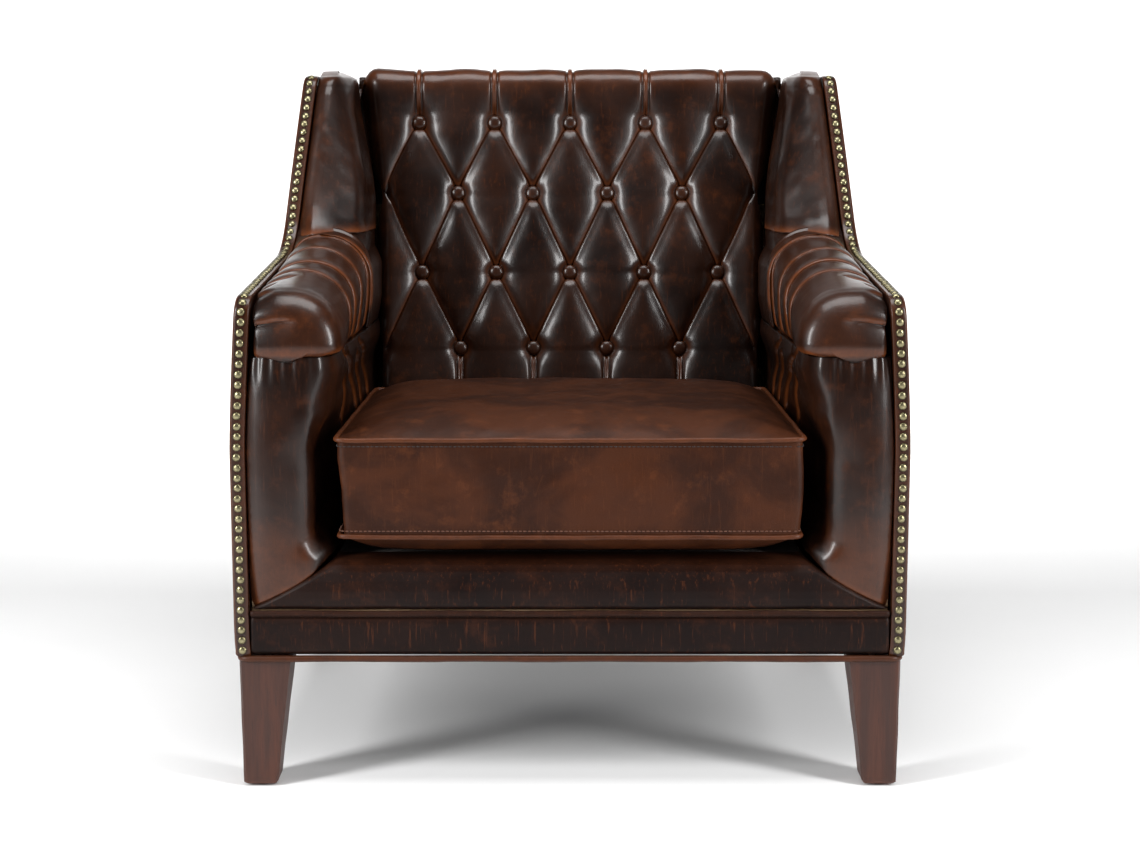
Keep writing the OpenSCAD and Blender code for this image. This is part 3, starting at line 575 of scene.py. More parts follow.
def tufted_back():
    n = 40                                            # grid steps in one diamond's side
    warp = 0.72                                       # how much the grid closes up at the pleats
    soft = lambda a: a - warp * np.sin(2 * math.pi * a) / (2 * math.pi)
    half = int(2.66 * 2 * n) // 2 * 2
    keys, uv, faces = {}, [], []

    def vertex(m, k, u, v):
        if (m, k) not in keys:
            keys[(m, k)] = len(uv)
            uv.append((u, v))
        return keys[(m, k)]

    def lattice(i, j):                                # i, j count along the two diagonals
        a, b = soft(i / n), soft(j / n)
        return vertex(i + j + n, i - j, (a + b + 1) / 2, a - b)

    for i in range(-4 * n, 5 * n):
        for j in range(-6 * n, 4 * n):
            corner = [(i, j), (i + 1, j), (i + 1, j + 1), (i, j + 1)]
            rows = [p - q for p, q in corner]
            columns = [p + q + n for p, q in corner]
            if min(rows) < -1 or max(rows) > 3 * n + 1 or min(columns) < -half - 1 or max(columns) > half + 1:
                continue
            keep = [c for c, r, m in zip(corner, rows, columns) if 0 <= r <= 3 * n and -half <= m <= half]
            if len(keep) >= 3:
                faces.append([lattice(*c) for c in keep])

    def columns_at(row):                              # the lattice's columns on its first or last row
        found = sorted((m, uv[i][0]) for (m, k), i in keys.items() if k == row)
        return found

    def strip(row, values):                           # plain grid above or below the lattice
        found = columns_at(row)
        before = [keys[(m, row)] for m, _ in found]
        for step, v in enumerate(values):
            now = [vertex(m, row + (1000 + step) * (1 if row else -1), u, v) for m, u in found]
            for k in range(len(found) - 1):
                faces.append([before[k], before[k + 1], now[k + 1], now[k]])
            before = now

    s_end = S_TURN + TOP_R * TURN + 0.148
    strip(3 * n, 3 + np.linspace(0, (s_end - ROW_S[3]) / 0.110, 120)[1:])
    strip(0, -np.linspace(0, (ROW_S[0] + 0.150) / 0.116, 62)[1:])

    uv = np.array(uv)
    u, v = uv[:, 0], uv[:, 1]
    q = flat(u, v)
    s = q[:, 1]
    half_u = half / (2 * n)

    # distances to the pleats
    total = np.zeros(len(q))
    nearest = np.full(len(q), 1.0)
    signed, fold_t, fold_down = np.zeros(len(q)), np.zeros(len(q)), np.zeros((len(q), 2))
    for a, b in crease_lines():
        d, off, t, down = near_line(q, flat(*map(np.array, a)), flat(*map(np.array, b)))
        total += (d + 1e-5) ** -3.0
        closer = d < nearest
        nearest = np.where(closer, d, nearest)
        signed = np.where(closer, off, signed)
        fade = smooth(t * np.linalg.norm(flat(*map(np.array, b)) - flat(*map(np.array, a))) / 0.022)
        fade = fade * smooth((1 - t) * 0.131 / 0.022)
        fold_t = np.where(closer, fade, fold_t)
        fold_down = np.where(closer[:, None], down, fold_down)
    upright, upright_off = np.full(len(q), 1.0), np.zeros(len(q))
    for column, first, last in [(c, 3, 9) for c in (-2, -1, 0, 1, 2)] + [(c, -9, 0) for c in (-1.5, -0.5, 0.5,
        1.5)]:
        a, b = flat(np.array(column), np.array(first)), flat(np.array(column), np.array(last))
        a[0] = b[0] = flat(np.array(column), np.array(max(first, 0) if first == 3 else 0))[0]
        d = np.hypot(q[:, 0] - a[0], np.clip(a[1] - s, 0, None) + np.clip(s - b[1], 0, None))
        strength = 0.55 if first == 3 else 0.85
        total += strength * (d + 1e-5) ** -3.0
        closer = d < upright
        upright_off = np.where(closer, q[:, 0] - a[0], upright_off)
        upright = np.where(closer, d, upright)
    away = total ** (-1 / 3.0)

    # depth of the pleats, deeper towards the buttons and fading over the top and into the seat
    to_button = np.full(len(q), 1.0)
    for place in button_places():
        to_button = np.minimum(to_button, np.linalg.norm(q - flat(*map(np.array, place)), axis=1))
    depth = CREASE_DEPTH + (BUTTON_DEPTH - CREASE_DEPTH) * bell(to_button, 0.024)
    above = smooth((s - ROW_S[3] - 0.010) / 0.045)
    below = smooth((ROW_S[0] - s - 0.010) / 0.060)
    depth = depth * (1 - 0.80 * above) * (1 - 0.45 * below)
    lip = signed > 0
    in_lattice = (v <= 3.0) & (v >= 0.0)
    fold = np.where(in_lattice, fold_t, 0.0)
    rise = away + np.where(lip, 0.0045, -0.0005) * fold * (1 - bell(nearest, 0.0016))
    fill = 1 - np.exp(-(np.clip(rise, 0, None) / 0.0215) ** 0.92)
    height = -depth * (1 - fill)
    height -= 0.0045 * bell(to_button, 0.0120)
    height += 0.0018 * ripple(np.stack([q[:, 0], q[:, 1], 0 * s], -1), 0.09, 3) * fill
    height += 0.0002 * ripple(np.stack([q[:, 0], q[:, 1], 0 * s], -1), 0.022, 4) * fill

    # the folded lip laps over the pleat
    lap = 0.0034 * fold * np.where(lip, bell(nearest - 0.0020, 0.0034), 0.0)
    lap *= smooth(nearest / 0.0016)
    q = q - fold_down * lap[:, None]

    # narrow flat folds that run up over the top, and down into the seat
    band = np.where(upright < 0.5, 1.0, 0.0) * (~in_lattice | (nearest > 0.003))
    ridge = smooth((0.0040 - upright) / 0.0016) * band
    groove = bell(upright - 0.0048, 0.0014) * band
    stand = smooth((s - ROW_S[3] - 0.006) / 0.02) + smooth((ROW_S[0] - 0.006 - s) / 0.02)
    fade_back = 1 - smooth((s - S_TURN - 0.060) / 0.03)
    height += (0.0034 * ridge - 0.0022 * groove) * stand * fade_back

    # rounding into the side crevices
    x = q[:, 0]
    point, normal = back_frame(q[:, 1])
    wide = back_half_width(point[:, 1])
    reach = smooth((np.abs(u) - 2.15) / (half_u - 2.15))
    x = np.sign(x) * (np.abs(x) + reach * (wide - half_u * pitch(np.clip(v, 0, 3.4))))
    inset = np.clip((np.abs(x) - (wide - 0.028)) / 0.028, 0, 1)
    height -= 0.046 * (1 - np.sqrt(np.clip(1 - inset ** 2.2, 0, 1)))
    place = point + normal * height[:, None]
    points = np.stack([x, place[:, 0], place[:, 1]], -1)

    upper = np.where(~lip, 1.0, 0.0) * fold
    # the pale band on each pleat's upper side is rubbing; the thin pale line along its lip is a painted
    # highlight
    wear = 0.42 * upper * bell(nearest - 0.0040, 0.0026) + 0.30 * fold * lip * bell(nearest - 0.0012, 0.0014)
    wear += (0.38 * ridge * stand + 0.35 * bell(to_button - 0.012, 0.006)
             + 0.12 * bell(upright - 0.008, 0.004) * stand)
    wear += 0.35 * bell(s - S_TURN - 0.02, 0.02)
    # painted shade: dark at the pleat bottoms, in the grooves of the upright folds and in the button recesses
    crease = (bell(nearest, 0.0014) * fold + 0.9 * groove * stand * smooth(1.4 - stand)
              + 1.0 * smooth((0.0142 - to_button) / 0.003))
    piece = Piece()
    piece.add(points, faces, np.clip(wear, 0, 1), np.clip(crease, 0, 1))
    back = piece.build("tufted_back", "chair", DARK_LEATHER, ["back_cover"])
    thick = back.modifiers.new("thickness", "SOLIDIFY")
    thick.thickness, thick.offset = 0.0025, -1.0
    return back


def check_outward(piece, towards):
    """Turns the faces over if most of them face away from a direction."""
    mesh = piece.data
    facing = sum(p.normal.dot(Vector(towards)) * p.area for p in mesh.polygons)
    if facing < 0:
        mesh.flip_normals()


def lathe(profile, centre, axis, sides, twist=0.0, wobble=None):
    """Rings of a turned form: profile is (radius, height along the axis)."""
    axis = np.asarray(axis, float) / np.linalg.norm(axis)
    u = np.cross(axis, [0.0, 0.0, 1.0] if abs(axis[2]) < 0.9 else [0.0, 1.0, 0.0])
    u /= np.linalg.norm(u)
    v = np.cross(axis, u)
    a = np.linspace(0, 2 * math.pi, sides, endpoint=False) + twist
    r = np.array([p[0] for p in profile])[:, None]
    if wobble is not None:
        r = r * (1 + wobble * np.cos(7 * a + twist)[None, :])
    h = np.array([p[1] for p in profile])
    return (np.asarray(centre) + (r * np.cos(a))[..., None] * u + (r * np.sin(a))[..., None] * v
            + h[:, None, None] * axis)


def covered_buttons():
    piece = Piece()
    profile = [(0.0080, -0.0010), (0.0104, 0.0006), (0.0112, 0.0022), (0.0110, 0.0040), (0.0098, 0.0058),
               (0.0076, 0.0071), (0.0048, 0.0080), (0.0018, 0.0083)]
    for k, (u, v) in enumerate(button_places()):
        q = flat(np.array(u), np.array(v))
        point, normal = back_frame(q[1])
        sink = point - normal * (BUTTON_DEPTH - 0.0012)
        turn = 0.03 * math.sin(k * 2.4)
        axis = (turn, normal[0], normal[1])
        rings = lathe(profile, (q[0], sink[0], sink[1]), axis, 26, k * 0.7, 0.012)
        piece.rings(rings, wear=np.array([0, 0, 0.30, 0.35, 0.12, 0.1, 0.1, 0.1]))
    return piece.build("covered_buttons", "chair", DARK_LEATHER, ["back_buttons"], sharp=60)


# ---------------------------------------------------------------- arms

TUCK_Z = 0.556
WALL_TOP = 0.563                                     # top of the arm's wall, tucked up inside the roll
CREST_X = 0.357                                      # half width at the roll's crest
ROLL_IN = 0.288                                      # half width at its inner side
ROLL_FRONT, NOSE = -0.0075, 0.058                    # how far the nose stands out, and how long it is
COLLAR = 0.363                                       # depth where the wing laps over the roll
PLEATS = (0.151, 0.208, 0.278, COLLAR)               # pleats that run right over the roll


def crest_z(depth):
    return 0.6400 + 0.168 * np.asarray(depth)


def roll_section(depth, angles):
    """Half width and height round the roll at a depth. Angles run from 0 at the bottom by the nails,
    over 1 at the nail line, 2 at the crest and 3 at the inner side, to 4 at the tuck."""
    edge = edge_height(np.clip(depth, 0.03, None))
    top = np.maximum(crest_z(depth), edge + 0.004)
    mid = top - 0.064
    outer = inner_x(edge)
    u, seg = angles % 1.0, np.floor(angles)
    quarter = u * math.pi / 2
    x = np.where(seg < 1, outer, np.where(seg < 2, CREST_X + (outer - CREST_X) * np.cos(quarter),
                 np.where(seg < 3, CREST_X - (CREST_X - ROLL_IN) * np.sin(quarter) ** 0.95,
                          ROLL_IN + 0.010 * u ** 2.2)))
    z = np.where(seg < 1, TUCK_Z + (edge - 0.004 - TUCK_Z) * u,
                 np.where(seg < 2, edge - 0.004 + (top - edge + 0.004) * np.sin(quarter) ** 0.9,
                          np.where(seg < 3, mid + (top - mid) * np.cos(quarter) ** 0.95,
                                   mid + (TUCK_Z - mid) * u)))
    last = angles >= 4
    return np.where(last, ROLL_IN + 0.010, x), np.where(last, TUCK_Z, z)


def outward(grid, centre):
    """Unit normals of a grid, pointing away from a centre."""
    out = np.cross(np.gradient(grid, axis=1), np.gradient(grid, axis=0))
    out /= np.linalg.norm(out, axis=-1)[..., None] + 1e-9
    return out * np.where(np.sum(out * (grid - centre), -1) < 0, -1.0, 1.0)[..., None]


def arm_roll(side):
    """The pleated roll, from the nails over its crest to the tuck inside the seat, with a blunt nose."""
    lengths = np.concatenate([np.linspace(0, 1, 46)[:-1] ** 1.7 * NOSE, np.linspace(NOSE, 0.400, 290)])
    t, w = np.meshgrid(lengths, np.concatenate([np.linspace(0, 1, 14)[:-1], np.linspace(1, 4, 150)]),
                       indexing="ij")
    depth = ROLL_FRONT + t
    x, z = roll_section(np.clip(depth, 0.035, None), w)
    cap = np.clip(1 - t / NOSE, 0, 1)
    narrow = np.where(x > CREST_X, (1 - cap ** 9) ** (1 / 9), (1 - cap ** 5) ** (1 / 5))
    lower = (1 - cap ** 2.5) ** (1 / 2.5)
    x = CREST_X + (x - CREST_X) * narrow
    z = TUCK_Z + (z - TUCK_Z) * lower
    hang = smooth((TUCK_Z + 0.012 - z) / 0.012) * smooth((0.10 - t) / 0.05)
    across = np.clip((x - 0.352) / 0.055, -1.1, 1.1)
    face = cap ** 0.7
    depth = depth + face * (0.0065 * across ** 2 + 0.0050 * smooth((0.580 - z) / 0.024))
    base = np.stack([x, depth, z], -1)
    centre = np.stack([np.full_like(x, CREST_X), np.clip(depth, 0.07, None), np.full_like(x, TUCK_Z + 0.02)],
                      -1)
    out = outward(base, centre)

    # the last of these is painted shade along the pleats and folds, and under the tuck
    rise, lap, wear, crease = (np.zeros_like(x) for _ in range(4))
    inner = smooth((w - 2.0) / 1.6)
    for k, at in enumerate(PLEATS):
        line = at - 0.016 * smooth((2.0 - w) / 1.0) - 0.004 * inner + 0.0025 * np.sin(2.2 * w + 2 * k + side)
        off = depth - line                            # positive behind the pleat
        power = (0.50 + 0.50 * inner + 0.45 * smooth((1.9 - w) / 0.8)) * (1.15 if k == 1 else 0.9)
        ahead = np.exp(-(np.abs(off) / (0.018 + 0.010 * inner)) ** 0.9)
        rise -= power * 0.0085 * np.where(off > 0, np.exp(-np.abs(off) / 0.0042), ahead)
        lap += power * 0.0034 * bell(off - 0.0024, 0.0036) * smooth(off / 0.0014)
        wear += power * (1.1 * bell(off - 0.0022, 0.0028) * (off > 0) + 0.35 * bell(off + 0.006, 0.005))
        crease += power * 1.2 * bell(off + 0.0010, 0.0017)
    # pleats that start at the nails and die out on the crest
    for at, end, power in ((0.118, 2.1, 1.0), (0.084, 1.75, 1.1), (0.185, 1.7, 0.6), (0.243, 1.6, 0.6),
                           (0.318, 1.5, 0.5)):
        line = at - 0.020 * smooth((2.0 - w) / 1.0)
        off = depth - line
        power = power * smooth((end - w) / 0.45)
        rise -= power * 0.0075 * np.where(off > 0, np.exp(-np.abs(off) / 0.004), np.exp(-np.abs(off) / 0.012))
        lap += power * 0.0030 * bell(off - 0.0022, 0.0032) * smooth(off / 0.0014)
        wear += power * 0.9 * bell(off - 0.0020, 0.0026) * (off > 0)
        crease += power * 1.1 * bell(off + 0.0010, 0.0016)
    # two folds on the nose, running in from the nails
    drop = np.zeros_like(x)
    for at, reach, power in ((0.6010, 0.074, 1.0), (0.6330, 0.040, 1.0)):
        inward = np.clip(0.410 - x, 0, None)
        line = at + 0.0085 * np.sin(np.clip(inward / reach, 0, 1) * math.pi * 0.75)
        off = z - line                                # positive above the fold
        power = power * smooth((reach - inward) / 0.028) * smooth((0.055 - t) / 0.02)
        rise -= power * 0.0055 * np.where(off > 0, np.exp(-np.abs(off) / 0.0030),
                                          np.exp(-np.abs(off) / 0.0110))
        drop += power * 0.0026 * bell(off - 0.0018, 0.0028) * smooth(off / 0.0012)
        wear += power * 0.8 * bell(off - 0.0020, 0.0026) * (off > 0)
        crease += power * bell(off + 0.0006, 0.0012)
    rise *= smooth((0.398 - depth) / 0.008)
    rise += (0.0008 * ripple(base, 0.110, 11 + side) + 0.0001 * ripple(base, 0.024,
        15 + side)) * smooth(t / 0.02)
    front = base + out * rise[..., None]
    front[..., 1] -= lap
    front[..., 2] -= drop
    tuck = smooth((TUCK_Z + 0.016 - z) / 0.016) * (w > 2.6) + face * smooth((TUCK_Z + 0.010 - z) / 0.010)
    front += out * (-0.0055 * tuck)[..., None]
    # the bottom edge steps up a little behind each pleat
    step = sum(smooth((depth - at) / 0.004) * np.exp(-np.clip(depth - at, 0, None) / 0.030) for at in (0.060,
        0.105) + PLEATS)
    front[..., 2] += 0.0030 * step * smooth((w - 3.5) / 0.5)
    front[..., 2] = np.where(hang > 0, np.maximum(front[..., 2], TUCK_Z - 0.002), front[..., 2])
    front[..., 0] = np.minimum(front[..., 0], inner_x(front[..., 2]) - 0.0002)
    wear += 0.55 * bell(z - TUCK_Z - 0.011, 0.006) * (face > 0.3) + 0.45 * bell(z - TUCK_Z - 0.010,
        0.006) * (w > 3)
    wear += 0.12 * smooth((w - 1.6) / 0.4) * smooth((3.2 - w) / 0.6)
    # painted shade along the tuck under the roll
    crease = np.clip(crease, 0, 1) + 0.9 * smooth((TUCK_Z + 0.005 - z) / 0.005) * ((face > 0.05) | (w > 3.6))
    core = np.stack([CREST_X + (x - CREST_X) * 0.82, np.clip(depth, 0.0245, None),
                     z - 0.010 * (w > 0.9) * (w < 3.2)], -1)
    core[..., 2] = np.clip(core[..., 2], TUCK_Z + 0.001, None)
    flip = np.array([side, 1, 1])
    piece = Piece()
    piece.pad(front * flip, core * flip, np.clip(wear, 0, 1), np.clip(crease, 0, 1))
    name = "right" if side == RIGHT else "left"
    return piece.build("arm_roll_cover_" + name, "chair", DARK_LEATHER, ["arm_roll_" + name])


def softened(points, count, spread):
    """A path through control points, evenly spaced and with rounded corners."""
    dense = along(points, np.linspace(0, length(points), 700))
    size = max(3, int(spread / length(points) * 700))
    kernel = np.exp(-np.linspace(-2, 2, 2 * size + 1) ** 2)
    kernel /= kernel.sum()
    lead = dense[:1] + (dense[:1] - dense[1:size + 1])[::-1]
    tail = dense[-1:] + (dense[-1:] - dense[-size - 1:-1])[::-1]
    padded = np.concatenate([lead, dense, tail])
    dense = np.stack([np.convolve(padded[:, k], kernel, "valid") for k in range(dense.shape[1])], -1)
    return along(dense, np.linspace(0, length(dense), count))


def arm_wall(side):
    """Inside of the arm and the facing on its front, wrapped round the corner in one piece. Half way up,
    the corner is drawn back beside the cushion."""
    rows = np.concatenate([np.linspace(0, 0.12, 16)[:-1], np.linspace(0.12, 0.9, 70)[:-1],
                           np.linspace(0.9, 1, 14)])
    outer = 0.4122
    grid = []
    for v in rows:
        z = 0.300 + (WALL_TOP - 0.300) * v
        waist = float(smooth((0.500 - z) / 0.060) * smooth((z - 0.305) / 0.050))
        foot = float(smooth((0.345 - z) / 0.045))
        top = float(smooth((z - 0.500) / 0.050))
        corner = 0.3045 + 0.0225 * waist - 0.0040 * foot - 0.0120 * top
        back = 0.3045 - 0.0150 * top
        tight = 0.010 * waist
        path = np.array([[0.2868, 0.614], [0.2905, 0.600], [back, 0.570], [back, 0.480], [back, 0.330],
                         [back + 0.55 * (corner - back), 0.200],
                         [corner, 0.110], [corner, 0.045],
                         [corner + 0.005 - tight * 0.3, 0.020 - tight * 0.4],
                         [corner + 0.020, 0.000], [corner + 0.042, -0.0040], [0.3800, -0.0050],
                         [0.3985, -0.0010], [outer, 0.0095]])
        grid.append(softened(path, 330, 0.018))
    path = np.array(grid).transpose(1, 0, 2)          # along the plan, then up
    X, D = path[..., 0], path[..., 1]
    V = np.broadcast_to(rows, X.shape)
    run = np.clip((X - 0.303) / (outer - 0.303), 0, 1) * smooth((0.06 - D) / 0.05)
    seam = 0.3022 - 0.0640 * run - 0.0085 * np.sin(run * math.pi) * (1 - 0.55 * run)
    Z = seam + (WALL_TOP - seam) * V
    tangent = np.gradient(path, axis=0)
    tangent /= np.linalg.norm(tangent, axis=-1)[..., None]
    normal = np.stack([tangent[..., 1], -tangent[..., 0]], -1)
    normal *= np.where(normal[-90, 40, 1] > 0, -1.0, 1.0)
    facing = smooth((X - 0.318) / 0.02) * smooth((0.05 - D) / 0.03)
    belly = np.sin(np.clip(V * 0.985 + 0.008, 0, 1) * math.pi) ** 0.45
    puff = -0.0085 + belly * (0.0085 + 0.0040 * facing)
    # the second of these is painted shade in the pleats and gathers, and along the bottom seam and the top
    # tuck
    wear, crease, shift = np.zeros_like(Z), np.zeros_like(Z), np.zeros_like(Z)
    on_side = smooth((D - 0.075) / 0.03)
    for k, (foot_at, lean,
            start) in enumerate(((0.225, 0.10, 0.515), (0.326, 0.20, 0.556), (0.400, 0.17, 0.540),
                                 (0.480, 0.19, 0.556))):
        up = np.clip((Z - 0.462) / 0.094, 0, 1)
        line = foot_at - lean * up ** 1.9 + 0.003 * math.sin(3 * k + side)
        off = D - line
        power = smooth((Z - 0.435) / 0.03) * smooth((start + 0.012 - Z) / 0.022) * on_side
        puff -= power * 0.0075 * np.where(off > 0, np.exp(-np.abs(off) / 0.005),
                                          np.exp(-(np.abs(off) / 0.024) ** 0.9))
        shift += power * 0.0030 * bell(off - 0.0026, 0.0040) * smooth(off / 0.0015)
        wear += power * 1.0 * bell(off - 0.0022, 0.0032) * (off > 0)
        crease += power * bell(off + 0.0006, 0.0016)
    for k, at in enumerate((0.085, 0.120, 0.160)):    # gathers just under the tuck
        off = D - at
        power = smooth((Z - 0.522) / 0.03) * on_side
        puff -= power * 0.0035 * bell(off, 0.006)
        crease += power * 0.5 * bell(off, 0.0020)
    flat3 = np.stack([np.cumsum(np.linalg.norm(np.diff(path, axis=0, prepend=path[:1]), axis=-1), 0), Z,
                      0 * Z], -1)
    puff += (0.0010 * ripple(flat3, 0.20, 21 + side) + 0.0001 * ripple(flat3, 0.035, 25 + side)) * belly
    hang = smooth((Z - 0.515) / 0.04) * facing
    puff += 0.0008 * hang * np.sin(X * 430 + 1.5 * side)
    P = np.stack([X + normal[..., 0] * puff, D + normal[..., 1] * puff - shift, Z], -1)
    P[..., 0] = np.maximum(P[..., 0], np.where(Z < 0.494, 0.3032, 0.2870))
    P[..., 0] = np.minimum(P[..., 0], inner_x(P[..., 2]) - 0.0002)
    Q = np.stack([X - normal[..., 0] * 0.0125, D - normal[..., 1] * 0.0125, Z], -1)
    Q[..., 0] = np.clip(Q[..., 0], P[..., 0].min() + 0.004, inner_x(Q[..., 2]) - 0.0002)
    Q[..., 0] = np.where(D > 0.05, np.minimum(np.maximum(Q[..., 0], P[..., 0] + 0.003), 0.3345), Q[..., 0])
    low = smooth((0.38 - Z) / 0.08) * facing
    wear += (0.34 * low + 0.55 * bell(V, 0.02) * facing
             + 0.25 * bell(V - 0.06, 0.05) * smooth((0.335 - X) / 0.02) * facing)
    crease += 0.85 * (bell(V, 0.006) + bell(V - 1, 0.006))
    flip = np.array([side, 1, 1])
    piece = Piece()
    piece.pad(P * flip, Q * flip, np.clip(wear, 0, 1), np.clip(crease, 0, 1))
    name = "right" if side == RIGHT else "left"
    return piece.build("arm_wall_" + name, "chair", DARK_LEATHER, ["arm_inside_" + name])


# ---------------------------------------------------------------- wings

def wing(side):
    """Padding on the inside of a wing, round its front edge and over its top. Its lower edge laps over
    the arm roll."""
    crest = float(crest_z(COLLAR))
    mid = crest - 0.064
    low_rows = np.linspace(0.566, crest, 56)
    high_rows = np.linspace(crest, WING_TOP - 0.030, 110)
    crown = np.radians(np.linspace(4, 90, 18))
    rows = [(z, "low", 0.0) for z in low_rows] + [(z, "high", 0.0) for z in high_rows]
    rows += [(WING_TOP - 0.030 + 0.030 * math.sin(a), "high", 1 - math.cos(a)) for a in crown]
    rows += [(WING_TOP + 0.0095 * math.sin(f * math.pi / 2), "roof", f) for f in np.linspace(0.08, 1, 16)]
    P, Q = [], []
    for z, kind, over in rows:
        zc = min(z, WING_TOP - 0.003)
        x_in = 0.3005 + 0.0260 * float(smooth((z - 0.735) / 0.20)) - 0.004 * float(smooth((0.66 - z) / 0.05))
        rear = PLANE_FOOT[0] + (z - PLANE_FOOT[1]) * math.tan(RAKE) + 0.018
        if kind == "low":
            lift = (z - mid) / 0.064
            x_start = CREST_X - (CREST_X - ROLL_IN) * math.sqrt(max(0.0, 1 - max(lift, 0) ** 2)) if lift > 0 \
                else ROLL_IN + 0.010 * min(1.0, (mid - z) / (mid - TUCK_Z)) ** 2.2
            x_start -= 0.0005
            x_in = min(x_in, max(x_start, 0.289))
            plan = np.array([[x_start + 0.0060, COLLAR + 0.010], [x_start + 0.0010, COLLAR - 0.001],
                             [x_start - 0.0015, COLLAR + 0.001], [x_start - 0.0025, COLLAR + 0.008],
                             [min(x_start - 0.002, x_in + 0.6 * (x_start - x_in)), COLLAR + 0.030],
                             [x_in, COLLAR + 0.070], [x_in, 0.5 * (COLLAR + 0.07 + rear)],
                             [x_in, rear - 0.02],
                             [x_in + 0.004, rear], [x_in + 0.010, back_y(zc) - 0.011]])
            blur = 0.003
        else:
            edge = float(edge_depth(min(z, wing_end_z)))
            if z > wing_end_z - 0.002:
                edge = float(wing_end[0])
            x_out = float(inner_x(zc)) - 0.0004
            bulge = 0.005 + 0.020 * math.exp(-(z - crest) / 0.030)
            edge += 0.026 * over if kind == "high" else 0.026 + 0.05 * over
            x_in += 0.005 * (over if kind == "high" else 1.0)
            squeeze = 0.0 if kind == "high" else over
            x_out2 = x_out - 0.012 * (over if kind == "high" else 1.0) * 0.6
            x_in += (x_out2 - x_in) * 0.86 * squeeze
            plan = np.array([[x_out, edge + 0.0100], [x_out2 - 0.0005, edge + 0.0020],
                             [x_out2 - 0.0070, edge - 0.55 * bulge],
                             [x_out2 - 0.020, edge - bulge],
                             [0.5 * (x_out2 - 0.020 + x_in + 0.008), edge - 0.4 * bulge + 0.008],
                             [x_in + 0.010, edge + 0.022], [x_in + 0.001, edge + 0.052],
                             [x_in - 0.001, 0.5 * (edge + 0.05 + rear)],
                             [x_in - 0.002, rear - 0.022], [x_in + 0.004, rear - 0.002],
                             [x_in + 0.012, back_y(zc) - 0.011]])
            plan[:, 1] = np.minimum(plan[:, 1], back_y(zc) - 0.011)
            blur = 0.016
        curve = softened(plan, 130, blur)
        P.append(np.column_stack([curve, np.full(len(curve), z)]))
        back = curve.copy()
        back[:, 0] = np.minimum(curve[:, 0] + 0.006, float(inner_x(zc)) - 0.0004)
        back[:, 0] = np.where(curve[:, 1] > float(edge_depth(min(z, wing_end_z))) + 0.02,
                              np.minimum(back[:, 0], 0.3345), back[:, 0])
        back[:, 0] = np.maximum(back[:, 0], np.minimum(curve[:, 0] + 0.0004, float(inner_x(zc)) - 0.0002))
        back[:, 1] = np.minimum(curve[:, 1] + 0.009, back_y(zc) - 0.0105)
        Q.append(np.column_stack([back, np.full(len(back), z - 0.006 * over)]))
    P, Q = np.array(P), np.array(Q)
    u = np.linspace(0, 1, P.shape[1])[None, :] * np.ones(P.shape[:2])
    Z = P[..., 2].copy()
    upper = smooth((Z - crest - 0.004) / 0.02) * (np.arange(len(P)) >= len(low_rows))[:, None]
    # the lower edge dips with the roll's outer shoulder
    dip = np.clip((P[..., 0] - CREST_X) / 0.050, 0, 1) ** 1.6 * 0.010 * bell(Z - crest, 0.028)
    P[..., 2] -= dip * (np.arange(len(P)) >= len(low_rows))[:, None]
    Q[..., 2] -= dip * (np.arange(len(P)) >= len(low_rows))[:, None]
    hollow = 0.0035 * bell(u - 0.38, 0.10) * upper * (1 - smooth((Z - 0.88) / 0.04))
    wave = 0.0012 * ripple(P, 0.22, 31 + side) + 0.0002 * ripple(P, 0.035, 33 + side)
    free = smooth(u / 0.08) * (1 - smooth((u - 0.78) / 0.12))
    P[..., 0] += (hollow + wave * (0.25 + 0.75 * upper)) * free
    P[..., 1] += wave * free * upper
    P[..., 0] = np.minimum(P[..., 0], inner_x(np.minimum(P[..., 2], WING_TOP)) - 0.0004)
    row = np.arange(len(P))[:, None]
    lip = ((row < len(low_rows)) * bell(u - 0.045, 0.030)
           + bell((row - len(low_rows)) / 4.0, 1.0) * (row >= len(low_rows)) * (u < 0.72))
    wear = (0.9 * np.clip(lip, 0, 1) * smooth((Z - 0.585) / 0.02) + 0.25 * smooth((Z - 0.915) / 0.02)
            + 0.10 * bell(u - 0.06, 0.05) * upper)
    # painted shade where the wing runs back into the crevice, and along its lower edge over the roll
    crease = (0.9 * smooth((u - 0.70) / 0.10) * (1 - smooth((Z - 0.915) / 0.02))
              + (row < len(low_rows)) * bell(u, 0.02))
    crease = np.maximum(crease, 1.0 * (row == len(low_rows)) * (u < 0.7))
    flip = np.array([side, 1, 1])
    piece = Piece()
    piece.pad(P * flip, Q * flip, np.clip(wear, 0, 1), np.clip(crease, 0, 1))
    name = "right" if side == RIGHT else "left"
    return piece.build("wing_cover_" + name, "chair", DARK_LEATHER, ["wing_pad_" + name])


# ---------------------------------------------------------------- side panels, outside back and nails

def outline():
    """Whole outline of a side panel, closed, in depth and height."""
    top, low = WING_TOP, BODY_Z
    corner = [np.array([back_y(top) - 0.008, top]), np.array([back_y(top - 0.008), top - 0.008])]
    down = [np.array([back_y(z), z]) for z in np.linspace(top - 0.012, low, 70)]
    under = [np.array([d, low]) for d in np.linspace(back_y(low), 0, 66)[1:-1]]
    roof = [np.array([d, top]) for d in np.linspace(NAIL_LINE[-1, 0], corner[0][0], 24)[1:-1]]
    return np.array(list(NAIL_LINE) + roof + corner + down + under)


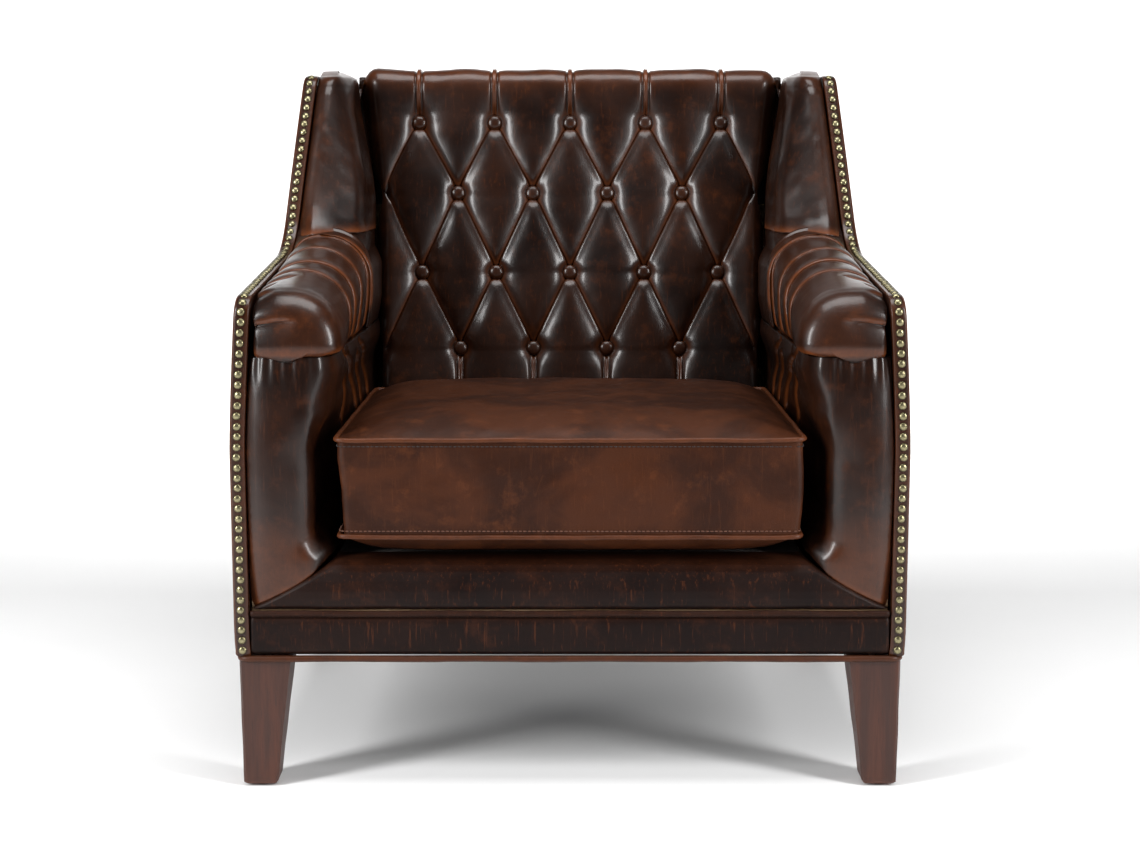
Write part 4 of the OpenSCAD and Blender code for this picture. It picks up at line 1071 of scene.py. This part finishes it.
def outside_panel(side):
    loop = outline()
    ahead = np.roll(loop, -1, 0) - np.roll(loop, 1, 0)
    ahead /= np.linalg.norm(ahead, axis=1)[:, None]
    inward = np.stack([ahead[:, 1], -ahead[:, 0]], -1)
    heart = np.array([0.47, 0.47])
    r = 0.0035
    rings, wear = [], []

    def ring(shape, offset, rub=0.0):
        x = outer_x(np.clip(shape[:, 1], BODY_Z, WING_TOP)) + offset
        rings.append(np.stack([x, shape[:, 0], shape[:, 1]], -1))
        wear.append(rub)

    for f in (0.02, 0.5, 0.9):
        ring(heart + (loop + inward * r - heart) * f, -PANEL_T)
    ring(loop + inward * r * 0.8, -PANEL_T)
    for a in np.radians((25, 55, 90)):
        ring(loop + inward * r * (1 - math.sin(a)) * 0.6, -PANEL_T + r * 0.4 * (1 - math.cos(a)) + 0.0004,
             0.3)
    for f in (0.35, 0.65, 0.84):
        ring(loop - inward * 0.0004 * math.sin(math.pi * f), -PANEL_T + PANEL_T * f, 0.1)
    for a in np.radians((20, 45, 70, 90)):
        ring(loop + inward * r * (1 - math.cos(a)), -r + r * math.sin(a), 0.45)
    for f in (0.985, 0.96, 0.92, 0.86, 0.78, 0.68, 0.56, 0.43, 0.30, 0.17, 0.06, 0.004):
        ring(heart + (loop + inward * r - heart) * f, 0.0026 * (1 - f ** 6), 0.0)
    rings = np.array(rings)
    swell = 0.0012 * ripple(rings, 0.16, 41 + side)
    outer_rows = np.arange(len(rings)) >= len(rings) - 11
    rings[..., 0] += np.where(outer_rows[:, None], swell, 0)
    rings[..., 0] = np.minimum(rings[..., 0], BODY_W / 2 + 0.003)
    piece = Piece()
    piece.rings(rings * np.array([side, 1, 1]), wear=np.array(wear), crease=0.0)
    name = "right" if side == RIGHT else "left"
    return piece.build("side_panel_" + name, "chair", DARK_LEATHER, ["outside_panel_" + name])


def nails(side):
    piece = Piece()
    rng = np.random.RandomState(60 + side)
    count = int((length(NAIL_LINE) - 0.008) / 0.0132)
    dome = [(0.0048, -0.0003), (0.0052, 0.0002), (0.0051, 0.0008), (0.0045, 0.0017), (0.0034, 0.0024),
            (0.0020, 0.0029), (0.0007, 0.0031)]
    for k in range(count + 1):
        s = 0.008 + k * 0.0132 + rng.normal() * 0.00025
        here, after = along(NAIL_LINE, np.array([s - 0.002, s + 0.002]))
        spot = (here + after) / 2
        run = (after - here) / np.linalg.norm(after - here)
        out = np.array([-run[1], run[0]])
        x = float(outer_x(spot[1])) - 0.0100 + rng.normal() * 0.0003
        axis = (0.10 * rng.normal(), out[0] + 0.06 * rng.normal(), out[1] + 0.06 * rng.normal())
        rings = lathe(dome, (x * side, spot[0] + out[0] * 0.0003, spot[1] + out[1] * 0.0003), axis, 18, k,
                      0.008)
        # paler toward the dome top: partly real rubbing, partly a painted highlight
        piece.rings(rings, wear=np.array([0, 0, 0.1, 0.3, 0.6, 0.9, 1.0]))
    name = "right" if side == RIGHT else "left"
    return piece.build("nail_heads_" + name, "chair", BRASS, ["nail_trim_" + name], sharp=70)


def outside_back():
    z = np.linspace(BODY_Z + 0.001, WING_TOP - 0.008, 120)
    f = np.linspace(-1, 1, 110)
    F, Z = np.meshgrid(f, z, indexing="ij")
    X = F * (inner_x(Z) - 0.0004)
    edge = np.minimum((1 - np.abs(F)) * 0.41, np.minimum(Z - BODY_Z, WING_TOP - 0.006 - Z))
    puff = 0.0026 * (1 - np.exp(-edge / 0.05)) - 0.0030 * np.exp(-edge / 0.003)
    X3 = np.stack([X, back_y(Z), Z], -1)
    puff += 0.0012 * ripple(X3, 0.18, 51) * (1 - np.exp(-edge / 0.04))
    P, Q = X3.copy(), X3.copy()
    P[..., 1] += puff
    Q[..., 1] -= 0.0075
    piece = Piece()
    # the last mask is painted shade along the edges
    piece.pad(P, Q, 0.25 * np.exp(-edge / 0.004), 0.2 * np.exp(-edge / 0.0015))
    return piece.build("outside_back_cover", "chair", DARK_LEATHER, ["outside_back"])


def back_piping():
    top = WING_TOP - 0.006
    side = [(float(outer_x(z)) - PANEL_T, back_y(z) + 0.003, z) for z in np.linspace(BODY_Z + 0.008,
        top - 0.010, 90)]
    turn = [(float(outer_x(top)) - PANEL_T - 0.010 * (1 - math.cos(a)),
             back_y(top - 0.010 + 0.010 * math.sin(a)) + 0.003,
             top - 0.010 + 0.010 * math.sin(a)) for a in np.radians(np.linspace(10, 90, 9))]
    half = np.array(side + turn)
    flat_top = np.array([(x, half[-1, 1], half[-1, 2]) for x in np.linspace(half[-1, 0], -half[-1, 0],
        120)[1:-1]])
    path = np.concatenate([half, flat_top, half[::-1] * [-1, 1, 1]])
    piece = Piece()
    piece.tube(path, 0.0029 + 0.0001 * ripple(path, 0.03, 52), 12, wear=0.45)
    return piece.build("back_piping_cord", "chair", PIPING_LEATHER, ["back_piping"])


# ---------------------------------------------------------------- base

def border_upper():
    """The panel under the cushion: rolls forward from the deck, and ends in slanting seams."""
    profile = np.array([[0.0100, 0.2372], [0.0030, 0.2375], [-0.0015, 0.2430], [-0.0032, 0.2520],
                        [-0.0034, 0.2620],
                        [-0.0015, 0.2740], [0.0040, 0.2850], [0.0130, 0.2935], [0.0250, 0.2985],
                        [0.0400, 0.3004],
                        [0.0595, 0.3006]])
    profile = along(profile, np.linspace(0, length(profile), 60))
    f = np.linspace(-1, 1, 240)
    F, K = np.meshgrid(f, np.arange(60), indexing="ij")
    depth, z = profile[K, 0], profile[K, 1]
    end = 0.4105 - np.clip(z - 0.2372, 0, None) / 0.0634 * 0.1080
    end = end - 0.0045 * np.sin(np.clip((z - 0.2372) / 0.0634, 0, 1) * math.pi)
    X = F * end
    near_end = np.clip((end - np.abs(X)) / 0.012, 0, 1)
    P = np.stack([X, depth + 0.006 * (1 - near_end) ** 2, z], -1)
    face = smooth((0.296 - z) / 0.02)
    P[..., 1] -= 0.0010 * ripple(P, 0.10, 61) * face + 0.0004 * ripple(P, 0.03, 62) * face
    Q = P.copy()
    Q[..., 1] = np.clip(P[..., 1] + 0.010, 0.0120, 0.0595)
    Q[..., 2] = np.minimum(z, 0.2755)
    piece = Piece()
    # the last mask is painted shade toward the slanting seams under the arm facings
    piece.pad(P, Q, 0.22 * smooth((z - 0.28) / 0.02) + 0.2 * (1 - near_end) ** 2, 0.4 * (1 - near_end) ** 4)
    return piece.build("border_upper_cover", "chair", BORDER_LEATHER,
                       ["front_border_upper"])


def border_lower():
    f = np.linspace(-1, 1, 220)
    z = np.linspace(BODY_Z + 0.0008, 0.2280, 30)
    F, Z = np.meshgrid(f, z, indexing="ij")
    mid = (z[0] + z[-1]) / 2
    P = np.stack([F * 0.4098, 0.0004 + 0.0050 * np.abs((Z - mid) / (z[-1] - mid)) ** 6, Z], -1)
    P[..., 1] -= 0.0008 * ripple(P, 0.12, 63) * (1 - np.abs((Z - mid) / (z[-1] - mid)) ** 4)
    Q = P.copy()
    Q[..., 1] = 0.0115
    piece = Piece()
    # the last mask is painted shade along the top and bottom edges, beside the pipings
    piece.pad(P, Q, 0.15 * bell(Z - z[-1], 0.006), 0.5 * (bell(Z - z[0], 0.002) + bell(Z - z[-1], 0.002)))
    return piece.build("border_lower_cover", "chair", BORDER_LEATHER,
                       ["front_border_lower"])


def border_cord():
    """Piping between the two borders, with the narrow flange it is sewn to."""
    x = np.linspace(-0.4095, 0.4095, 200)
    path = np.stack([x, 0.0012 + 0 * x, 0.2323 + 0.0004 * np.sin(x * 31)], -1)
    piece = Piece()
    piece.tube(path, 0.0038 + 0.00015 * ripple(path, 0.03, 64), 12, wear=0.18)
    shelf = np.stack([x, 0.0020 + 0 * x, 0.2283 + 0 * x], -1)
    piece.tube(shelf, 0.0013, 8, wear=0.1)
    return piece.build("border_piping_cord", "chair", BORDER_LEATHER, ["border_piping"])


def rounded_box_path(x0, x1, y0, y1, z, r, step=0.004):
    """A level closed path round a rectangle with rounded corners."""
    path = []
    for cx, cy, start in ((x1 - r, y0 + r, -90), (x1 - r, y1 - r, 0), (x0 + r, y1 - r, 90),
                          (x0 + r, y0 + r, 180)):
        path += [(cx + r * math.cos(a), cy + r * math.sin(a),
                  z) for a in np.radians(np.linspace(start, start + 90, 9))]
    path = np.array(path + path[:1])
    return along(path, np.linspace(0, length(path), int(length(path) / step), endpoint=False))


def base_cord():
    half = BODY_W / 2 - 0.0020 - 0.0043
    path = rounded_box_path(-half, half, -0.0030 + 0.0043, BASE_DEPTH + 0.0040 - 0.0043, BODY_Z - 0.0042,
                            0.012)
    path[:, 2] += 0.0003 * np.sin(path[:, 0] * 37)
    piece = Piece()
    piece.tube(path, 0.0041 + 0.00012 * ripple(path, 0.03, 66), 12, closed=True, wear=0.25)
    flange = rounded_box_path(-half + 0.003, half - 0.003, 0.0043, BASE_DEPTH - 0.0033, BODY_Z - 0.0018,
                              0.010)
    piece.tube(flange, 0.0016, 8, closed=True, wear=0.0)
    return piece.build("base_piping_cord", "chair", PIPING_LEATHER, ["base_piping"])


def deck():
    x, y = np.meshgrid(np.linspace(-0.3025, 0.3025, 70), np.linspace(0.0608, 0.5045, 60), indexing="ij")
    z = 0.3006 - 0.0010 * np.abs(x / 0.30) ** 3
    P = np.stack([x, y, z], -1)
    P[..., 2] -= 0.0004 + 0.0004 * ripple(P, 0.12, 67)
    Q = P.copy()
    Q[..., 2] = 0.2984
    piece = Piece()
    piece.pad(P, Q)
    return piece.build("deck_cloth_cover", "chair", DECK_CLOTH, ["deck_cover"])


def leg(side, front):
    """A square tapered leg, upright on its outer side."""
    name = ("front" if front else "rear") + "_leg_" + ("right" if side == RIGHT else "left")
    low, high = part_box(name)
    top_w, foot_w, top_z = 0.066, 0.044, BODY_Z - 0.0085
    x_out = high[0] if side == RIGHT else -low[0]
    d_top = 0.037 if front else 0.623
    shift = -0.009 if front else 0.059
    rings, wear = [], []
    for t in np.concatenate([[0, 0.012, 0.03], np.linspace(0.06, 1, 34)]):
        z = low[2] + t * (top_z - low[2])
        w = foot_w + (top_w - foot_w) * t ** 1.05 - (0.005 if t == 0 else 0.0015 if t < 0.02 else 0)
        r = 0.0032
        cx = x_out - 0.002 * (1 - t) - w / 2 - (0.0025 if t == 0 else 0)
        cd = d_top + shift * (1 - t)
        square = rounded_box_path(-w / 2, w / 2, -w / 2, w / 2, 0.0, r, step=length_step(w, 40))
        ring = square[:, :3] + [cx, cd, z]
        rings.append(ring)
        wear.append(0.8 if t < 0.02 else 0.15 * bell(t, 0.1))
    rings = np.array(rings)
    rings[..., 0] += 0.0003 * ripple(rings, 0.06, 71 + side)
    piece = Piece()
    piece.rings(rings * np.array([side, 1, 1]), wear=np.array(wear))
    return piece.build(name + "_turned", "chair", LEG_WOOD, [name], sharp=40)


def length_step(w, count):
    """Step that puts the same number of points round every section."""
    r = 0.0032
    around = 4 * (w - 2 * r) + sum(2 * r * math.sin(math.radians(90 / 8) / 2) for _ in range(32))
    return around / (count + 0.5)


# ---------------------------------------------------------------- seat cushion

CUSHION_HALF = 0.3015
CUSHION_FRONT, CUSHION_DEPTH = -0.011, 0.518
PIPE_LOW, PIPE_HIGH = 0.333, 0.458
CROWN = 0.0285


def cushion_ring(inset, r=0.009):
    """Points round the cushion, the same number whatever the inset."""
    x = CUSHION_HALF - inset
    y0, y1 = CUSHION_FRONT + inset, CUSHION_FRONT + CUSHION_DEPTH - inset
    path = rounded_box_path(-x, x, y0, y1, 0.0, r, step=0.0005)
    return along(np.concatenate([path, path[:1]]), np.linspace(0, 1, 440, endpoint=False) * length(path))[:,
        :2]


def cushion_cover():
    edge = cushion_ring(0.0062)
    middle = np.array([0.0, CUSHION_FRONT + CUSHION_DEPTH / 2])
    half = np.array([CUSHION_HALF - 0.0062, CUSHION_DEPTH / 2 - 0.0062])

    def dome(points, reach):
        inset = np.clip(half - np.abs(points - middle), 0, None)
        rise = 1 - np.exp(-(inset / reach) ** 1.15)
        return rise[:, 0] * rise[:, 1]

    rings = []
    for f in np.concatenate([[0.01], np.linspace(0.05, 0.9, 30), np.linspace(0.915, 0.998, 14)]):
        flat_ring = middle + (edge - middle) * f
        bulge = CROWN * dome(flat_ring, 0.036)
        p = np.column_stack([flat_ring, PIPE_HIGH + 0.0005 + bulge])
        p[:,
          2] += (0.0016 * ripple(p * [1, 1, 0], 0.13, 81) + 0.0005 * ripple(p * [1, 1, 0], 0.03,
              82)) * smooth(bulge / 0.01)
        rings.append(p)
    for v in np.linspace(0, 1, 34):                   # boxing, from the upper piping to the lower
        z = PIPE_HIGH - 0.001 - v * (PIPE_HIGH - PIPE_LOW - 0.002)
        out = 0.0020 * math.sin(math.pi * v) - 0.0018 * v
        ring = middle + (edge - middle) * (1 + out / half)
        p = np.column_stack([ring, np.full(len(ring), z)])
        side_way = (edge - middle) / np.linalg.norm(edge - middle, axis=1)[:, None]
        soft = (0.0014 * ripple(p, 0.11, 83) + 0.0005 * ripple(p, 0.035, 84)) * math.sin(math.pi * v) - 0.0006
        p[:, :2] += side_way * soft[:, None]
        pulled = 0.0048 * smooth((v - 0.12) / 0.4) * smooth((-0.24 - p[:, 0]) / 0.05)
        p[:, 0] += pulled * smooth((0.10 - p[:, 1]) / 0.10)
        p[:, 0] = np.clip(p[:, 0], -CUSHION_HALF + 0.0008, CUSHION_HALF - 0.0008)
        p[:, 1] = np.minimum(p[:, 1], CUSHION_FRONT + CUSHION_DEPTH - 0.0067)
        rings.append(p)
    for f in np.concatenate([np.linspace(0.998, 0.90, 14), np.linspace(0.87, 0.05, 26), [0.01]]):
        flat_ring = middle + (edge - middle) * (1 + -0.0022 / half) * f
        p = np.column_stack([flat_ring, PIPE_LOW - 0.0005 - 0.0292 * dome(flat_ring, 0.026)])
        rings.append(p)
    rings = np.array(rings)
    v = np.arange(len(rings))
    wear = 0.25 * bell(v - 44, 3) + 0.12 * bell(v - 79, 2)
    piece = Piece()
    piece.rings(rings, wear=wear, crease=0.0)
    return piece.build("cushion_leather", "seat_cushion", SEAT_LEATHER, ["cushion_cover"])


def cushion_cord(z, name, inset, wear):
    ring = cushion_ring(0.0045 + inset, 0.010)
    path = np.column_stack([ring, np.full(len(ring), z)])
    path[:, 2] += 0.0006 * ripple(path, 0.09, 85) + 0.0012 * bell(np.abs(path[:, 0]) - CUSHION_HALF, 0.02)
    piece = Piece()
    piece.tube(path, 0.0031 + 0.0001 * ripple(path, 0.025, 86), 12, closed=True, wear=wear)
    return piece.build(name + "_cord", "seat_cushion", PIPING_LEATHER, [name])


def stitches(name, z, inset, thread):
    """Topstitching on the boxing beside a piping."""
    piece = Piece()
    ring = cushion_ring(inset)
    path = np.column_stack([ring, np.full(len(ring), z)])
    path = np.concatenate([path, path[:1]])
    pitch_m, long = 0.0058, 0.0042
    middle = np.array([0.0, CUSHION_FRONT + CUSHION_DEPTH / 2, z])
    for k in range(int(length(path) / pitch_m)):
        ends = along(path, np.array([k * pitch_m, k * pitch_m + long / 2, k * pitch_m + long]))
        ends[1] += (ends[1] - middle) / np.linalg.norm(ends[1] - middle) * 0.0004
        piece.tube(ends, [0.0004, 0.0008, 0.0004], 6, wear=0.5)
    return piece.build(name, "seat_cushion", thread)


# ---------------------------------------------------------------- everything in place

back = tufted_back()
check_outward(back, (0, -1, 0.2))
covered_buttons()
for side in (LEFT, RIGHT):
    arm_roll(side)
    arm_wall(side)
    wing(side)
    outside_panel(side)
    nails(side)
    leg(side, True)
    leg(side, False)
outside_back()
back_piping()
border_upper()
border_lower()
border_cord()
base_cord()
deck()
cushion_cover()
cushion_cord(PIPE_HIGH, "cushion_piping_top", 0.0, 0.55)
cushion_cord(PIPE_LOW, "cushion_piping_bottom", 0.0022, 0.45)
stitches("stitching_top", PIPE_HIGH - 0.0080, 0.0057, DARK_THREAD)
stitches("stitching_bottom", PIPE_LOW + 0.0078, 0.0075, PALE_THREAD)


# ---------------------------------------------------------------- studio

def floor():
    """A pale sweep: floor that curves up into a wall far behind."""
    profile = [(y, 0.0) for y in np.linspace(-6, 5, 12)]
    profile += [(5 + 2 * math.sin(a), 2 - 2 * math.cos(a)) for a in np.radians(np.linspace(10, 90, 9))]
    profile += [(7, z) for z in np.linspace(2.5, 8, 6)]
    xs = np.linspace(-9, 9, 10)
    points = [(x, y, z - 0.0002) for y, z in profile for x in xs]
    faces = [[i * 10 + k, i * 10 + k + 1, i * 10 + k + 11, i * 10 + k + 10]
             for i in range(len(profile) - 1) for k in range(9)]
    mesh = bpy.data.meshes.new("studio_floor")
    mesh.from_pydata(points, [], faces)
    for p in mesh.polygons:
        p.use_smooth = True
    n = Nodes("studio_paper")
    paper = n.mix(n.noise(3.0), (0.90, 0.90, 0.90), (0.93, 0.93, 0.93))
    mesh.materials.append(n.finish(paper, 0.9))
    stage = bpy.data.objects.new("studio_floor", mesh)
    bpy.context.scene.collection.objects.link(stage)


def area_light(name, place, target, wide, tall, watts, colour=(1, 1, 1)):
    light = bpy.data.lights.new(name, "AREA")
    light.shape, light.size, light.size_y, light.energy, light.color = "RECTANGLE", wide, tall, watts, colour
    lamp = bpy.data.objects.new(name, light)
    bpy.context.scene.collection.objects.link(lamp)
    lamp.location = place
    lamp.rotation_euler = (Vector(target) - Vector(place)).to_track_quat("-Z", "Y").to_euler()


def studio():
    floor()
    area_light("softbox_left", (-2.2, -1.6, 1.45), (0, 0, 0.60), 0.50, 1.7, 80)
    area_light("softbox_right", (2.2, -1.6, 1.45), (0, 0, 0.60), 0.50, 1.7, 70)
    area_light("overhead", (0, -0.5, 2.9), (0, 0.1, 0.4), 1.8, 1.2, 52)
    area_light("backdrop_light", (0, 2.2, 3.2), (0, 6.5, 1.2), 5.0, 2.0, 420)
    world = bpy.data.worlds.new("studio")
    world.use_nodes = True
    world.node_tree.nodes["Background"].inputs["Color"].default_value = (1, 1, 1, 1)
    world.node_tree.nodes["Background"].inputs["Strength"].default_value = 0.09
    bpy.context.scene.world = world


def camera():
    """In front of the chair, a little above arm height, looking slightly down."""
    data = bpy.data.cameras.new("camera")
    data.lens, data.sensor_width, data.clip_start = 59.37, 36.0, 0.05
    eye = bpy.data.objects.new("camera", data)
    bpy.context.scene.collection.objects.link(eye)
    eye.location = (0.0, FRONT_Y - 2.35, 0.8207)
    eye.rotation_euler = (math.radians(90 - 8.40), 0, 0)
    bpy.context.scene.camera = eye


studio()
camera()
bpy.context.scene.view_settings.view_transform = "Standard"
bpy.context.view_layer.update()
